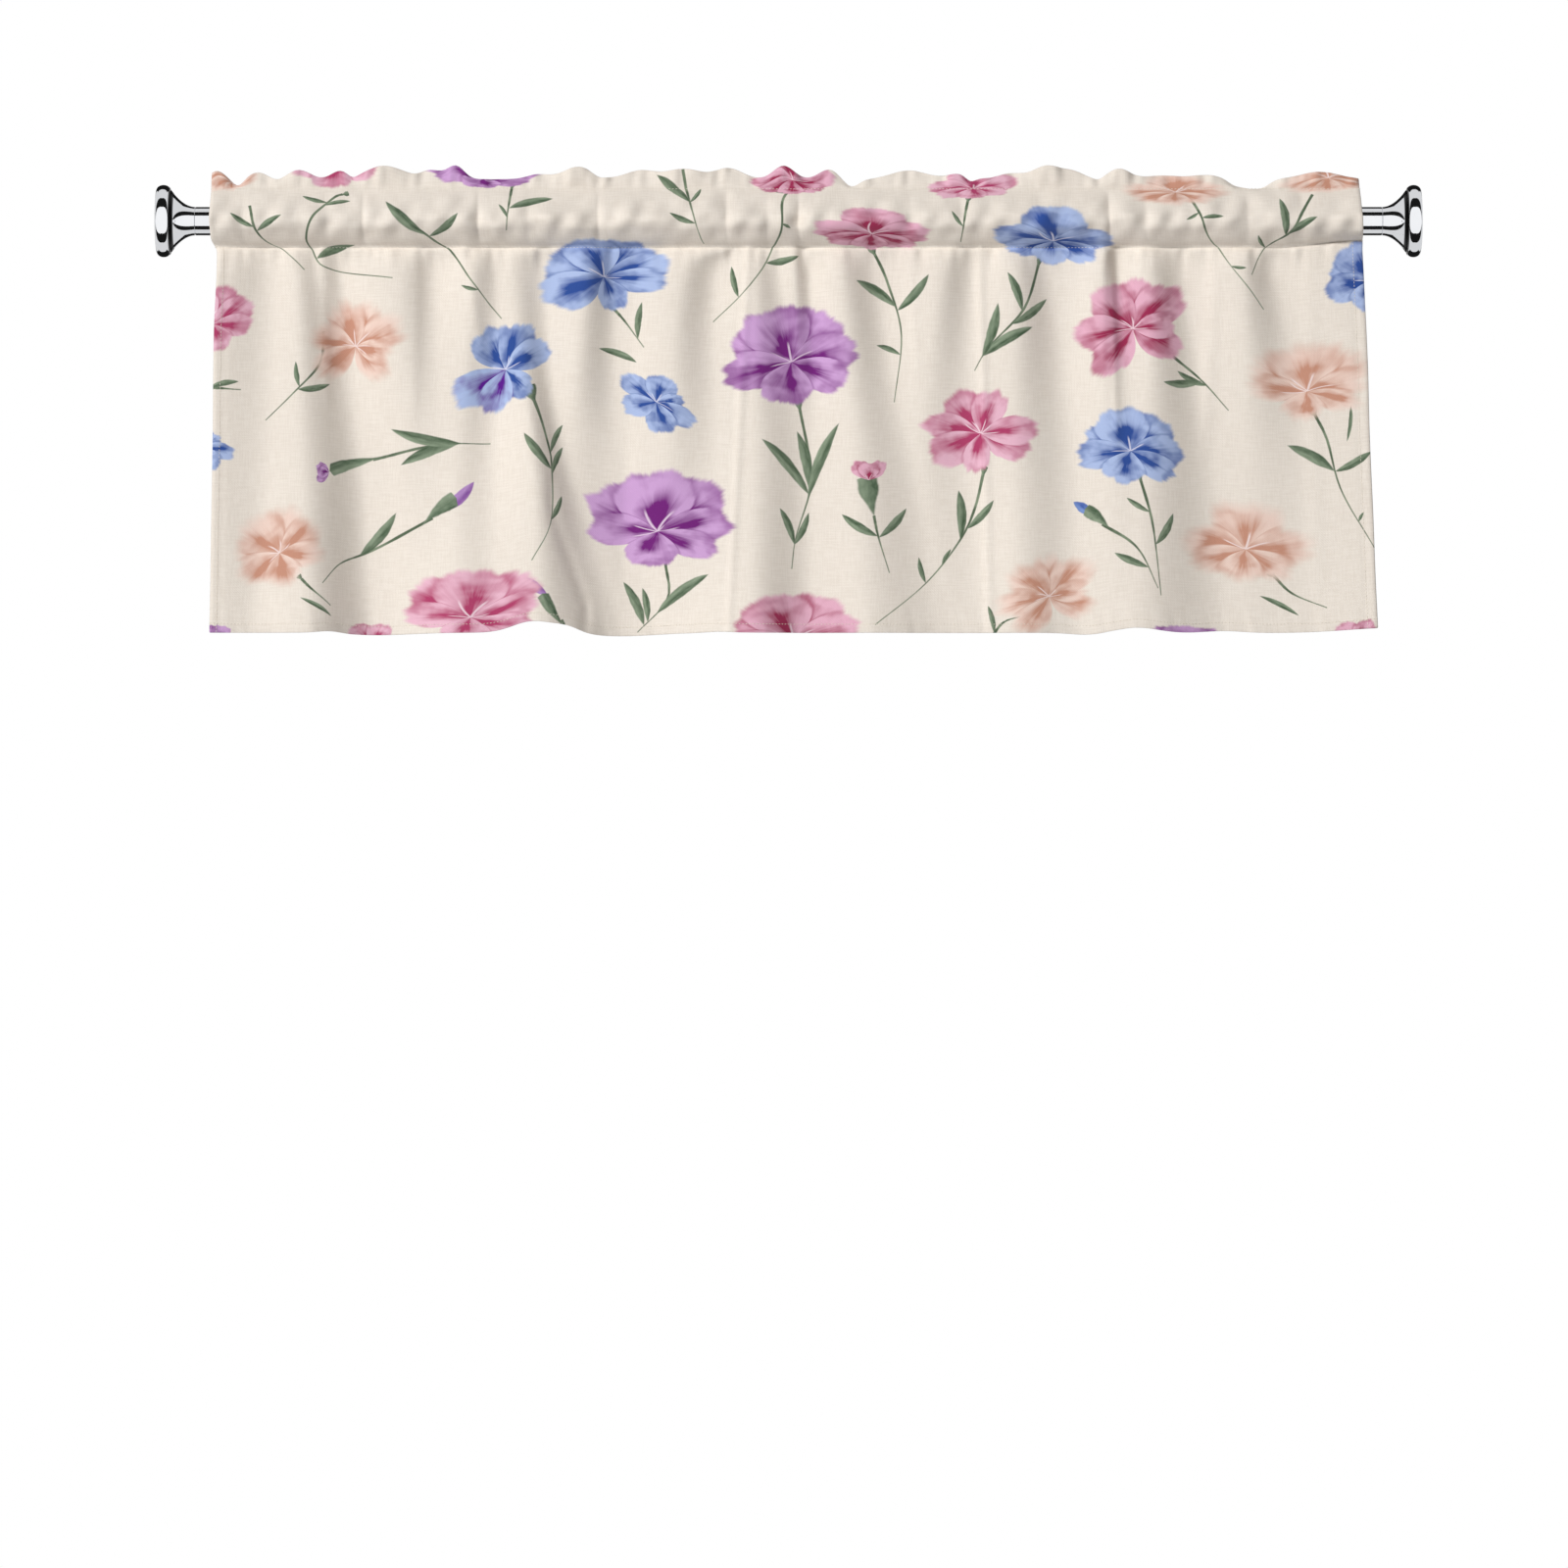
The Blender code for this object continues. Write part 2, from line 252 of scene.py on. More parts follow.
# %% The heading, pocket and hem tables
Crest = namedtuple("Crest", "x rise half lean")
CRESTS = (
    Crest(-562, 8, 10, -3),
    Crest(-522, 7, 13, 3),
    Crest(-481, 9, 15, -3),
    Crest(-441, 8, 12, 3),
    Crest(-397, 13, 25, -5),
    Crest(-351, 9, 19, 4),
    Crest(-326, 12, 11, -3),
    Crest(-245, 5, 16, 4),
    Crest(-205, 12, 21, -6),
    Crest(-144, 9, 21, 5),
    Crest(-101, 10, 24, -4),
    Crest(-57, 11, 19, 4),
    Crest(-3, 13, 14, -6),
    Crest(42, 10, 14, 4),
    Crest(121, 9, 25, 6),
    Crest(170, 5, 16, -4),
    Crest(221, 6, 17, 4),
    Crest(257, 13, 19, -5),
    Crest(283, 7, 15, 2),
    Crest(328, 10, 15, -5),
    Crest(371, 4, 24, 4),
    Crest(414, 4, 19, -3),
    Crest(457, -9, 17, 5),
    Crest(526, 7, 27, -4),
)
Dip = namedtuple("Dip", "x drop half")
DIPS = (
    Dip(-541, 7, 8),
    Dip(-503, 2, 8),
    Dip(-429, 3, 7),
    Dip(-366, 2, 8),
    Dip(-186, 3, 9),
    Dip(63, 8, 11),
    Dip(181, 5, 7),
    Dip(307, 2, 7),
    Dip(440, 3, 8),
    Dip(471, 3, 9),
)
Pinch = namedtuple("Pinch", "x half share")
PINCHES = (
    Pinch(-535, 14, 0.6),
    Pinch(-452, 15, 0.5),
    Pinch(-417, 8, 0.9),
    Pinch(-304, 9, 1.0),
    Pinch(-255, 9, 0.4),
    Pinch(-186, 10, 1.0),
    Pinch(-60, 9, 0.9),
    Pinch(-20, 10, 0.5),
    Pinch(11, 9, 1.0),
    Pinch(121, 16, 0.5),
    Pinch(171, 10, 0.5),
    Pinch(316, 9, 1.0),
    Pinch(352, 12, 0.6),
    Pinch(395, 16, 0.5),
    Pinch(452, 14, 0.7),
    Pinch(506, 14, 0.5),
)
Lift = namedtuple("Lift", "x rise half")
LIFTS = (
    Lift(-452, 2, 17),
    Lift(-400, -2, 45),
    Lift(-250, 11, 26),
    Lift(-216, 6, 20),
    Lift(-160, -3, 45),
    Lift(-62, 1, 18),
    Lift(292, -2, 22),
    Lift(335, 5, 27),
    Lift(420, 2, 25),
    Lift(579, 5, 60),
)


def summed(table, column, x):
    """A column of a table, spread round each row's place as a soft bump."""
    return sum(getattr(row, column) * bell(x - row.x * MM, row.half * MM) for row in table)


SHARP_TIP = 0.01
SHARP_FALL = 1.4


def sharp(gap, half):
    """Like bell, but with a crease at its middle."""
    return np.exp(-np.sqrt((gap / half) ** 2 + SHARP_TIP) * SHARP_FALL)


print(len(CRESTS), "crests,", len(DIPS), "dips,", len(PINCHES), "pinches,", len(LIFTS),
      "lifts of the hem")

# %% Sizes of the cloth
EDGE_LEVELS = (0.050, -0.018, -0.030, -0.110, -0.240, -0.400)
LEFT_EDGE = (-0.5670, -0.5670, -0.5615, -0.5640, -0.5655, -0.5685)
RIGHT_EDGE = (0.5600, 0.5640, 0.5640, 0.5680, 0.5725, 0.5795)
SOLID_CLOTH = 0.0016
THICK = 0.0007
LAYER = 0.0008
STAND = SOLID_CLOTH - 0.5 * THICK
POCKET_LOW = -0.0255
POCKET_HIGH = 0.0315
POCKET_RADIUS = 0.0155 + STAND
POCKET_START = math.radians(-40.0)
POCKET_END = math.radians(29.0)
FRONT_PUFF = 0.0062
BACK_PUFF = 0.0020
RISE_AT_RIGHT_END = 0.0068
RISE_WIDTH = 0.085
HEADING_BASE = 0.0412
HEM_BASE = -0.4045
SEAM_ALLOWANCE = 0.008
HEM_DEPTH = 0.011
SIDE_TURN = 0.0095


def pocket_low(along):
    start = RIGHT_EDGE[1] - RISE_WIDTH
    return POCKET_LOW + RISE_AT_RIGHT_END * ease((along - start) / RISE_WIDTH)


def heading_top(along):
    return HEADING_BASE + (summed(CRESTS, "rise", along) - summed(DIPS, "drop", along)) * MM


def heading_lean(along):
    return summed(CRESTS, "lean", along) * MM


def puff(along):
    pinched = sum(row.share * sharp(along - row.x * MM, row.half * MM) for row in PINCHES)
    return np.maximum(1.0 - pinched, 0.0)


def hem_bottom(along):
    return HEM_BASE + summed(LIFTS, "rise", along) * MM


print("pocket", round((POCKET_HIGH - POCKET_LOW) / MM), "mm tall round a rod of",
      round((rod_high.z - rod_low.z) / MM), "mm")

# %% [markdown]
# ## Gathers
# Where thread holds gathered cloth, small puckers run across the stitch line and die out
# a finger's width away. They have no order that a table could hold, so a few waves with
# fixed, unrelated lengths are added together. The random phases come from one seed.

# %% Small puckers
rng = np.random.default_rng(11)
PUCKER_LENGTHS = (0.0117, 0.0171, 0.0233, 0.0319, 0.0467)
PUCKER_SETS = 6
PUCKER_PHASES = rng.uniform(0.0, 2.0 * math.pi, (PUCKER_SETS, len(PUCKER_LENGTHS)))
PUCKER_SCALE = 2.4


def puckers(x, z, which, slant=0.0):
    """Irregular waves along x, from about -1 to 1."""
    total = np.zeros(np.shape(x))
    for length, phase in zip(PUCKER_LENGTHS, PUCKER_PHASES[which]):
        total += np.sin(2.0 * math.pi * (x + slant * z) / length + phase)
    return total / PUCKER_SCALE


LUMP_WAVES = 9
LUMP_SCALE = 3.0
LUMP_DIRECTIONS = rng.uniform(0.0, 2.0 * math.pi, LUMP_WAVES)
LUMP_LENGTHS = rng.uniform(0.018, 0.052, LUMP_WAVES)
LUMP_PHASES = rng.uniform(0.0, 2.0 * math.pi, LUMP_WAVES)


def lumps(x, z):
    """Irregular soft hills in both directions, from about -1 to 1."""
    total = np.zeros(np.shape(x))
    for direction, length, phase in zip(LUMP_DIRECTIONS, LUMP_LENGTHS, LUMP_PHASES):
        reach = x * math.cos(direction) + z * math.sin(direction)
        total += np.sin(2.0 * math.pi * reach / length + phase)
    return total / LUMP_SCALE


print(len(PUCKER_LENGTHS), "wave lengths, from",
      PUCKER_LENGTHS[0] / MM, "to", PUCKER_LENGTHS[-1] / MM, "mm")

# %% [markdown]
# ## The sheet's path
# The cloth is one sheet, and its path is followed as a sewer would handle it: up from the
# turned edge of the hem, round the bottom fold, up the front of the skirt, over the front
# of the rod, up the heading, over its top, down the back of the heading, behind the rod,
# and down to the raw edge of the seam. Each stretch gives rows of points. The printed
# side faces outwards all the way, so it also shows on the back of the heading.

# %% Where the cloth's threads run across
STATIONS = 420
SIDE_STEPS = (0.0004, 0.0035, 0.0065, SIDE_TURN)
FINE_STEPS = 2400
PINCH_CROWD = 1.5
PINCH_REACH = 0.011
CREASE_CROWD = 0.35
CREASE_REACH = 0.009
SIDE_MARGIN = 0.003


def cross_shares(z):
    """Shares of the cloth's length, and of its width, at one height along its folds."""
    left = through(EDGE_LEVELS, LEFT_EDGE, z)[0]
    right = through(EDGE_LEVELS, RIGHT_EDGE, z)[0]
    x = np.linspace(left, right, FINE_STEPS)
    run = np.concatenate([[0.0], np.cumsum(np.hypot(np.diff(x), np.diff(fold_offset(x, z))))])
    return run / run[-1], (x - left) / (right - left), run[-1]


def crowded(first, last, count):
    """Places from first to last that lie closer together beside pinches and creases."""
    places = np.linspace(first, last, FINE_STEPS)
    run_share, width_share, _ = cross_shares(FOLD_LEVELS[0])
    x = mix(LEFT_EDGE[1], RIGHT_EDGE[1], np.interp(places / skirt_width, run_share, width_share))
    crowd = np.ones(FINE_STEPS)
    for row in PINCHES:
        crowd += PINCH_CROWD * row.share * bell(x - row.x * MM, PINCH_REACH)
    for crease in CREASES:
        crowd += CREASE_CROWD * abs(crease.height) * bell(x - crease.x_top * MM, CREASE_REACH)
    total = np.concatenate([[0.0], np.cumsum(0.5 * (crowd[1:] + crowd[:-1]))])
    return np.interp(np.linspace(0.0, total[-1], count), total, places)


skirt_width = float(np.mean([cross_shares(z)[2] for z in FOLD_LEVELS[1:]]))
inner = crowded(SIDE_TURN + SIDE_MARGIN, skirt_width - SIDE_TURN - SIDE_MARGIN,
                STATIONS - 2 * len(SIDE_STEPS))
across = np.concatenate([SIDE_STEPS, inner, skirt_width - np.array(SIDE_STEPS)[::-1]])
share = across / skirt_width
level_shares = []
for level in FOLD_LEVELS:
    run_share, width_share, _ = cross_shares(level)
    level_shares.append(np.interp(share, run_share, width_share))
along = mix(LEFT_EDGE[1], RIGHT_EDGE[1], level_shares[0])


def place_x(z):
    """x of every station at heights z, so that the cloth isn't stretched over its folds."""
    left = through(EDGE_LEVELS, LEFT_EDGE, z)
    right = through(EDGE_LEVELS, RIGHT_EDGE, z)
    return mix(left, right, through(FOLD_LEVELS, level_shares, z))


print(STATIONS, "stations,", round(skirt_width / MM), "mm of cloth along the folds")

# %% Rows of the sheet, from the turned hem up the front and down the back
SKIRT_ROWS = 42
SEAM_STEPS = (0.0105, 0.0075, 0.0050, 0.0032, 0.0020, 0.0010, 0.0)
POCKET_ROWS = 22
HEADING_ROWS = 7
BACK_ROWS = 14
GROOVE = 0.0024
GROOVE_DEPTH = 0.0007
SIDE_GROOVE = 0.00045
SIDE_GROOVE_HALF = 0.0018
SIDE_ROOM = 2.0
SIDE_ROOM_REACH = 0.010
GATHER = 0.0011
GATHER_REACH = 0.016
GATHER_START = 0.004
HEM_WAVE = 0.0004
HEM_WAVE_SLANT = 0.3
HEM_WAVE_REACH = 0.020
SKIRT_ROWS_END = 0.014
SKIRT_ROWS_CROWD = 0.02
HEADING_PUFF = 0.0014
HEADING_TILT = 0.0034
HEADING_TILT_POWER = 1.2
HEADING_WAVE = 0.0014

low = pocket_low(along)
high = np.full(STATIONS, POCKET_HIGH)
bottom = hem_bottom(along)
top = heading_top(along)
lean = heading_lean(along)
low_y = fold_offset(along, low)
from_side = np.minimum(across, skirt_width - across)
gap = LAYER * (1.0 + SIDE_ROOM * (1.0 - ease((from_side - SIDE_TURN) / SIDE_ROOM_REACH)))
rows = []


def skirt_y(z):
    x = place_x(z)
    y = fold_offset(x, z) + crease_offset(x, z) - STAND
    near_seam = bell(z - low, GATHER_REACH)
    y += GATHER * near_seam * puckers(x, z, 0) * np.clip((low - z) / GATHER_START, 0.0, 1.0)
    y += (STAND - 0.5 * gap + GROOVE_DEPTH) * bell(z - low, GROOVE)
    y += HEM_WAVE * puckers(x, z, 1, HEM_WAVE_SLANT) * bell(z - bottom, HEM_WAVE_REACH)
    y += SIDE_GROOVE * bell(from_side - SIDE_TURN, SIDE_GROOVE_HALF)
    return y


def add_row(name, y, z):
    rows.append((name, place_x(z), y, z))


for t in (1.0, 0.66, 0.33):
    z = bottom + 0.5 * gap + HEM_DEPTH * t
    add_row("turned hem", skirt_y(z) + gap, z)
for angle in (-30.0, -90.0, -150.0):
    turn = math.radians(angle)
    z = bottom + 0.5 * gap
    add_row("hem fold", skirt_y(z) + 0.5 * gap * (1.0 + math.cos(turn)), z + 0.5 * gap * math.sin(turn))
for t in np.linspace(0.0, 1.0, SKIRT_ROWS):
    t = t - SKIRT_ROWS_CROWD * math.sin(2.0 * math.pi * t)
    z = mix(bottom + 0.5 * gap, low - SKIRT_ROWS_END, t)
    add_row("skirt", skirt_y(z), z)
for step in SEAM_STEPS:
    add_row("skirt", skirt_y(low - step), low - step)


ROUND_FROM = 0.24
ROUND_TO = 0.70
ROUND_POWER = 0.75
SWELL_POWER = 0.7
LINE_REACH = 0.012
LINE_PUCKER = 0.0010
LINE_SLANT = 0.6
POCKET_LUMP = 0.0019


def pocket_wall(t, side, start_y, depth, which):
    """One row of the pocket's wall, from its lower seam at t = 0 to its upper at t = 1."""
    first, last = ROUND_FROM, ROUND_TO
    angle = mix(POCKET_START, POCKET_END, np.clip((t - first) / (last - first), 0.0, 1.0))
    y = np.full(STATIONS, POCKET_RADIUS * math.cos(angle))
    z = np.full(STATIONS, POCKET_RADIUS * math.sin(angle))
    if t < first:
        y = mix(side * start_y, y, (t / first) ** ROUND_POWER)
        z = mix(low, z, t / first)
    if t > last:
        y = mix(y, 0.5 * gap, (t - last) / (1.0 - last))
        z = mix(z, high, (t - last) / (1.0 - last))
    swell = math.sin(math.pi * t) ** SWELL_POWER
    y = y + depth * swell * puff(along)
    near_lines = bell(z - low, LINE_REACH) + bell(z - high, LINE_REACH)
    puckered = LINE_PUCKER * near_lines * (1.0 + puckers(along, z, which, LINE_SLANT))
    y = y + math.sin(math.pi * t) * (puckered + POCKET_LUMP * (1.0 + lumps(along, z)))
    return side * y, z


for t in np.linspace(0.0, 1.0, POCKET_ROWS + 2)[1:-1]:
    y, z = pocket_wall(t, -1, low_y - 0.5 * gap + GROOVE_DEPTH, FRONT_PUFF, 2)
    add_row("pocket front", y, z)


def heading_row(t, side):
    """One row of the heading, from the upper seam at t = 0 to its top fold at t = 1."""
    z = mix(high, top - 0.5 * (gap + LAYER), t)
    apart = gap + LAYER * t + HEADING_PUFF * math.sin(math.pi * t) * (1.0 + puckers(along, z, 3))
    leaned = (lean + HEADING_TILT) * t ** HEADING_TILT_POWER
    return leaned + HEADING_WAVE * t * puckers(along, z, 4) + side * 0.5 * apart, z


for t in np.linspace(0.0, 1.0, HEADING_ROWS):
    add_row("heading front", *heading_row(t, -1))
for angle in (150.0, 90.0, 30.0):
    turn = math.radians(angle)
    middle_y = 0.5 * (heading_row(1.0, -1)[0] + heading_row(1.0, 1)[0])
    radius = 0.5 * (gap + LAYER)
    add_row("heading fold", middle_y + radius * math.cos(turn), top - radius + radius * math.sin(turn))
for t in np.linspace(1.0, 0.0, HEADING_ROWS):
    add_row("heading back", *heading_row(t, 1))
for t in np.linspace(1.0, 0.0, BACK_ROWS + 2)[1:-1]:
    y, z = pocket_wall(t, 1, low_y + 0.5 * gap + GROOVE_DEPTH, BACK_PUFF, 5)
    add_row("pocket back", y, z)
for t in (0.0, 0.3, 0.65, 1.0):
    z = low - SEAM_ALLOWANCE * t
    add_row("seam allowance", skirt_y(z) + gap, z)

row_names = [row[0] for row in rows]
middle = np.stack([np.stack(row[1:], axis=-1) for row in rows])
print(len(rows), "rows:", ", ".join(dict.fromkeys(row_names)))

# %% [markdown]
# ## Side hems
# A side hem is the same cloth turned back on itself, so the columns of points near each
# edge are used again, one layer further in, with one more column round the fold. This
# keeps the sheet in one piece with a soft double edge, where a thickened rim would look
# like card.

# %% Turn the two sides under
def normals(grid):
    """Unit vectors out of the printed side of a grid of points."""
    across_step = np.gradient(grid, axis=1)
    up_step = np.gradient(grid, axis=0)
    out = np.cross(across_step, up_step)
    return out / np.maximum(np.linalg.norm(out, axis=-1, keepdims=True), 1e-12)


SIDE_FOLD = np.array([0.0004, 0.0, 0.0])
out = normals(middle)
turned = len(SIDE_STEPS)
left_turn = (middle - LAYER * out)[:, :turned][:, ::-1]
right_turn = (middle - LAYER * out)[:, -turned:][:, ::-1]
left_fold = (middle - 0.5 * LAYER * out)[:, :1] - SIDE_FOLD
right_fold = (middle - 0.5 * LAYER * out)[:, -1:] + SIDE_FOLD
grid = np.concatenate([left_turn, left_fold, middle, right_fold, right_turn], axis=1)
steps = np.array(SIDE_STEPS)
cloth_u = np.concatenate([-steps[::-1], [0.0], across, [skirt_width], skirt_width + steps])
row_steps = np.linalg.norm(np.diff(middle, axis=0), axis=-1).mean(axis=1)
cloth_v = np.concatenate([[0.0], np.cumsum(row_steps)])

# %% Thicken the sheet and join its edges
row_count, column_count = grid.shape[:2]
out = normals(grid)
outer = grid + 0.5 * THICK * out
inner_side = grid - 0.5 * THICK * out
points = np.concatenate([outer.reshape(-1, 3), inner_side.reshape(-1, 3)])
number = np.arange(row_count * column_count).reshape(row_count, column_count)
printed = np.stack([number[:-1, :-1], number[:-1, 1:], number[1:, 1:], number[1:, :-1]], axis=-1)
printed = printed.reshape(-1, 4)
wrong = printed[:, ::-1] + number.size
ring = np.concatenate([number[0], number[1:, -1], number[-1, -2::-1], number[-2:0:-1, 0]])
following = np.roll(ring, -1)
rim = np.stack([following, ring, ring + number.size, following + number.size], axis=-1)
faces = np.concatenate([printed, wrong, rim])

cloth_mesh = bpy.data.meshes.new("valance_cloth")
cloth_mesh.vertices.add(len(points))
cloth_mesh.vertices.foreach_set("co", points.astype(np.float32).ravel())
cloth_mesh.loops.add(faces.size)
cloth_mesh.loops.foreach_set("vertex_index", faces.astype(np.int32).ravel())
cloth_mesh.polygons.add(len(faces))
cloth_mesh.polygons.foreach_set("loop_start", np.arange(0, faces.size, 4, dtype=np.int32))
cloth_mesh.update(calc_edges=True)
cloth_mesh.validate()
cloth_mesh.shade_smooth()
cloth = bpy.data.objects.new("valance_cloth", cloth_mesh)
cloth.visible_glossy = False
bpy.context.scene.collection.objects.link(cloth)
print(len(faces), "faces,", cloth_mesh.attributes.domain_size("CORNER"), "corners")

# %% [markdown]
# ## Laying out the print
# The print is drawn on the flat cloth and folds with it. To place a motif where it is
# seen, its place in the front view is turned into a place on the flat cloth: the nearest
# point of the sheet's front is found, and the small step left over is added. The motifs
# are common ones: carnations, their leaves and their buds.

# %% From the front view to the flat cloth
front_rows = [i for i, name in enumerate(row_names)
              if name in ("skirt", "pocket front", "heading front")]
front_x = middle[front_rows][:, :, 0]
front_z = middle[front_rows][:, :, 2]


def on_cloth(x, z):
    """A place in the front view, in millimetres, as metres across and up the flat cloth."""
    x, z = x * MM, z * MM
    row, column = np.unravel_index(np.argmin((front_x - x) ** 2 + (front_z - z) ** 2), front_x.shape)
    u = across[column] + (x - front_x[row, column])
    v = cloth_v[front_rows[row]] + (z - front_z[row, column])
    return np.array([u, v])


corner_u = np.concatenate([cloth_u[np.arange(number.size) % column_count]] * 2)[faces]
corner_v = np.concatenate([cloth_v[np.arange(number.size) // column_count]] * 2)[faces]
corner_places = np.stack([corner_u, corner_v], axis=-1)
corner_places[-len(rim):] = -1.0
face_places = corner_places.mean(axis=1)
print("the rod's middle is", np.round(on_cloth(0.0, 0.0), 3), "m across and up the cloth")

# %% [markdown]
# ## How a motif reaches the material
# A picture of the print would be an image file, and painting each small face would look
# coarse. Instead every corner of every face is told where it lies in a motif's own small
# frame: along and across a petal, a leaf or a stem. Those numbers change evenly over a
# face, so the material can draw a crisp outline inside it. A face keeps a few such places
# for petals that overlap, the topmost first.

# %% Slots for the motifs of each face
PETAL_SLOTS = 7
LEAF_SLOTS = 4
STEM_SLOTS = 2
FAR = 9.0
NOTHING = -1.0


class Slots:
    """Local places of motifs at the corners of faces, for a few motifs on each face."""

    def __init__(self, name, count):
        self.name = name
        self.values = np.full((count, len(faces), 4, 3), FAR, np.float32)
        self.values[..., 2] = NOTHING
        self.used = np.zeros(len(faces), np.int32)

    def add(self, chosen, places, code):
        """chosen faces get places, an array of (along, across) at their four corners."""
        free = self.used[chosen] < len(self.values)
        chosen, places = chosen[free], places[free]
        slot = self.used[chosen]
        self.values[slot, chosen, :, :2] = places
        self.values[slot, chosen, :, 2] = code
        self.used[chosen] += 1

    def store(self):
        for i, values in enumerate(self.values):
            layer = cloth_mesh.attributes.new(f"{self.name}_{i}", "FLOAT_VECTOR", "CORNER")
            layer.data.foreach_set("vector", values.ravel())


petals = Slots("petal", PETAL_SLOTS)
leaves = Slots("leaf", LEAF_SLOTS)
stems = Slots("stem", STEM_SLOTS)
print(PETAL_SLOTS, "petals,", LEAF_SLOTS, "leaves and", STEM_SLOTS, "stems on a face at most")

# %% [markdown]
# ## The flowers
# The flowers are carnations: broad petals with a fringed rim that spread from one point.
# A form lists its petals in the order in which they are laid, the lowest first, each with
# its direction, its length and how wide it opens. The layout then gives every flower its
# place and size in millimetres, its form, and its colours. The places, sizes and forms
# follow the photograph, as far as the eye can read them. Few forms are enough, since
# each flower is turned, stretched and given its own seeds. A petal that faces up has a
# seed above a half, which tells the material to draw stamens over it.

# %% Petal forms
Petal = namedtuple("Petal", "angle length width stain", defaults=(None,))
Form = namedtuple("Form", "throat petals")
FORMS = {
    "open": Form(-0.08, (
        Petal(118, 1.02, 0.73), Petal(76, 1.00, 0.60), Petal(168, 1.06, 0.55),
        Petal(332, 1.00, 0.60), Petal(6, 1.04, 0.60), Petal(214, 1.06, 0.68),
        Petal(262, 0.86, 0.55),
    )),
    "full": Form(-0.16, (
        Petal(152, 0.98, 0.72), Petal(66, 1.12, 0.88), Petal(112, 1.12, 0.90),
        Petal(196, 1.04, 0.68), Petal(16, 1.06, 0.73), Petal(334, 0.98, 0.65),
        Petal(262, 0.84, 0.91),
    )),
    "ruffled": Form(-0.06, (
        Petal(150, 1.04, 0.84), Petal(56, 1.06, 0.84), Petal(104, 1.06, 0.80),
        Petal(14, 1.06, 0.57), Petal(206, 1.06, 0.81), Petal(346, 1.00, 0.52),
        Petal(288, 0.80, 0.57),
    )),
    "tossed": Form(-0.10, (
        Petal(84, 1.05, 0.57), Petal(42, 1.12, 0.65), Petal(120, 1.04, 0.68),
        Petal(178, 1.00, 0.65), Petal(232, 1.06, 0.59), Petal(322, 0.92, 0.65),
        Petal(2, 0.70, 0.72),
    )),
    "side": Form(-0.30, (
        Petal(132, 1.24, 0.74), Petal(50, 1.26, 0.76), Petal(92, 1.24, 0.90),
        Petal(172, 1.04, 0.60), Petal(8, 1.06, 0.65), Petal(330, 0.98, 0.52),
        Petal(258, 0.72, 1.01),
    )),
    "spread": Form(-0.16, (
        Petal(90, 1.14, 0.98), Petal(170, 1.06, 0.74), Petal(10, 1.08, 0.80),
        Petal(212, 0.94, 0.66), Petal(320, 0.92, 0.66), Petal(264, 0.80, 0.78),
    )),
    "stained": Form(0.04, (
        Petal(108, 1.06, 0.81), Petal(62, 1.10, 0.65), Petal(22, 1.00, 0.65),
        Petal(300, 0.84, 0.65), Petal(206, 1.20, 0.65, "violet"),
        Petal(246, 0.98, 0.65, "violet"),
    )),
    "loose": Form(0.0, (
        Petal(156, 1.16, 0.56), Petal(92, 0.92, 0.86), Petal(30, 0.74, 0.62),
        Petal(344, 1.14, 0.58), Petal(296, 1.04, 0.72), Petal(218, 0.90, 0.80),
    )),
    "bud": Form(-0.40, (
        Petal(62, 1.30, 0.60), Petal(118, 1.30, 0.60), Petal(90, 1.10, 0.80),
    )),
}
print("forms:", ", ".join(f"{name} of {len(form.petals)}" for name, form in FORMS.items()))

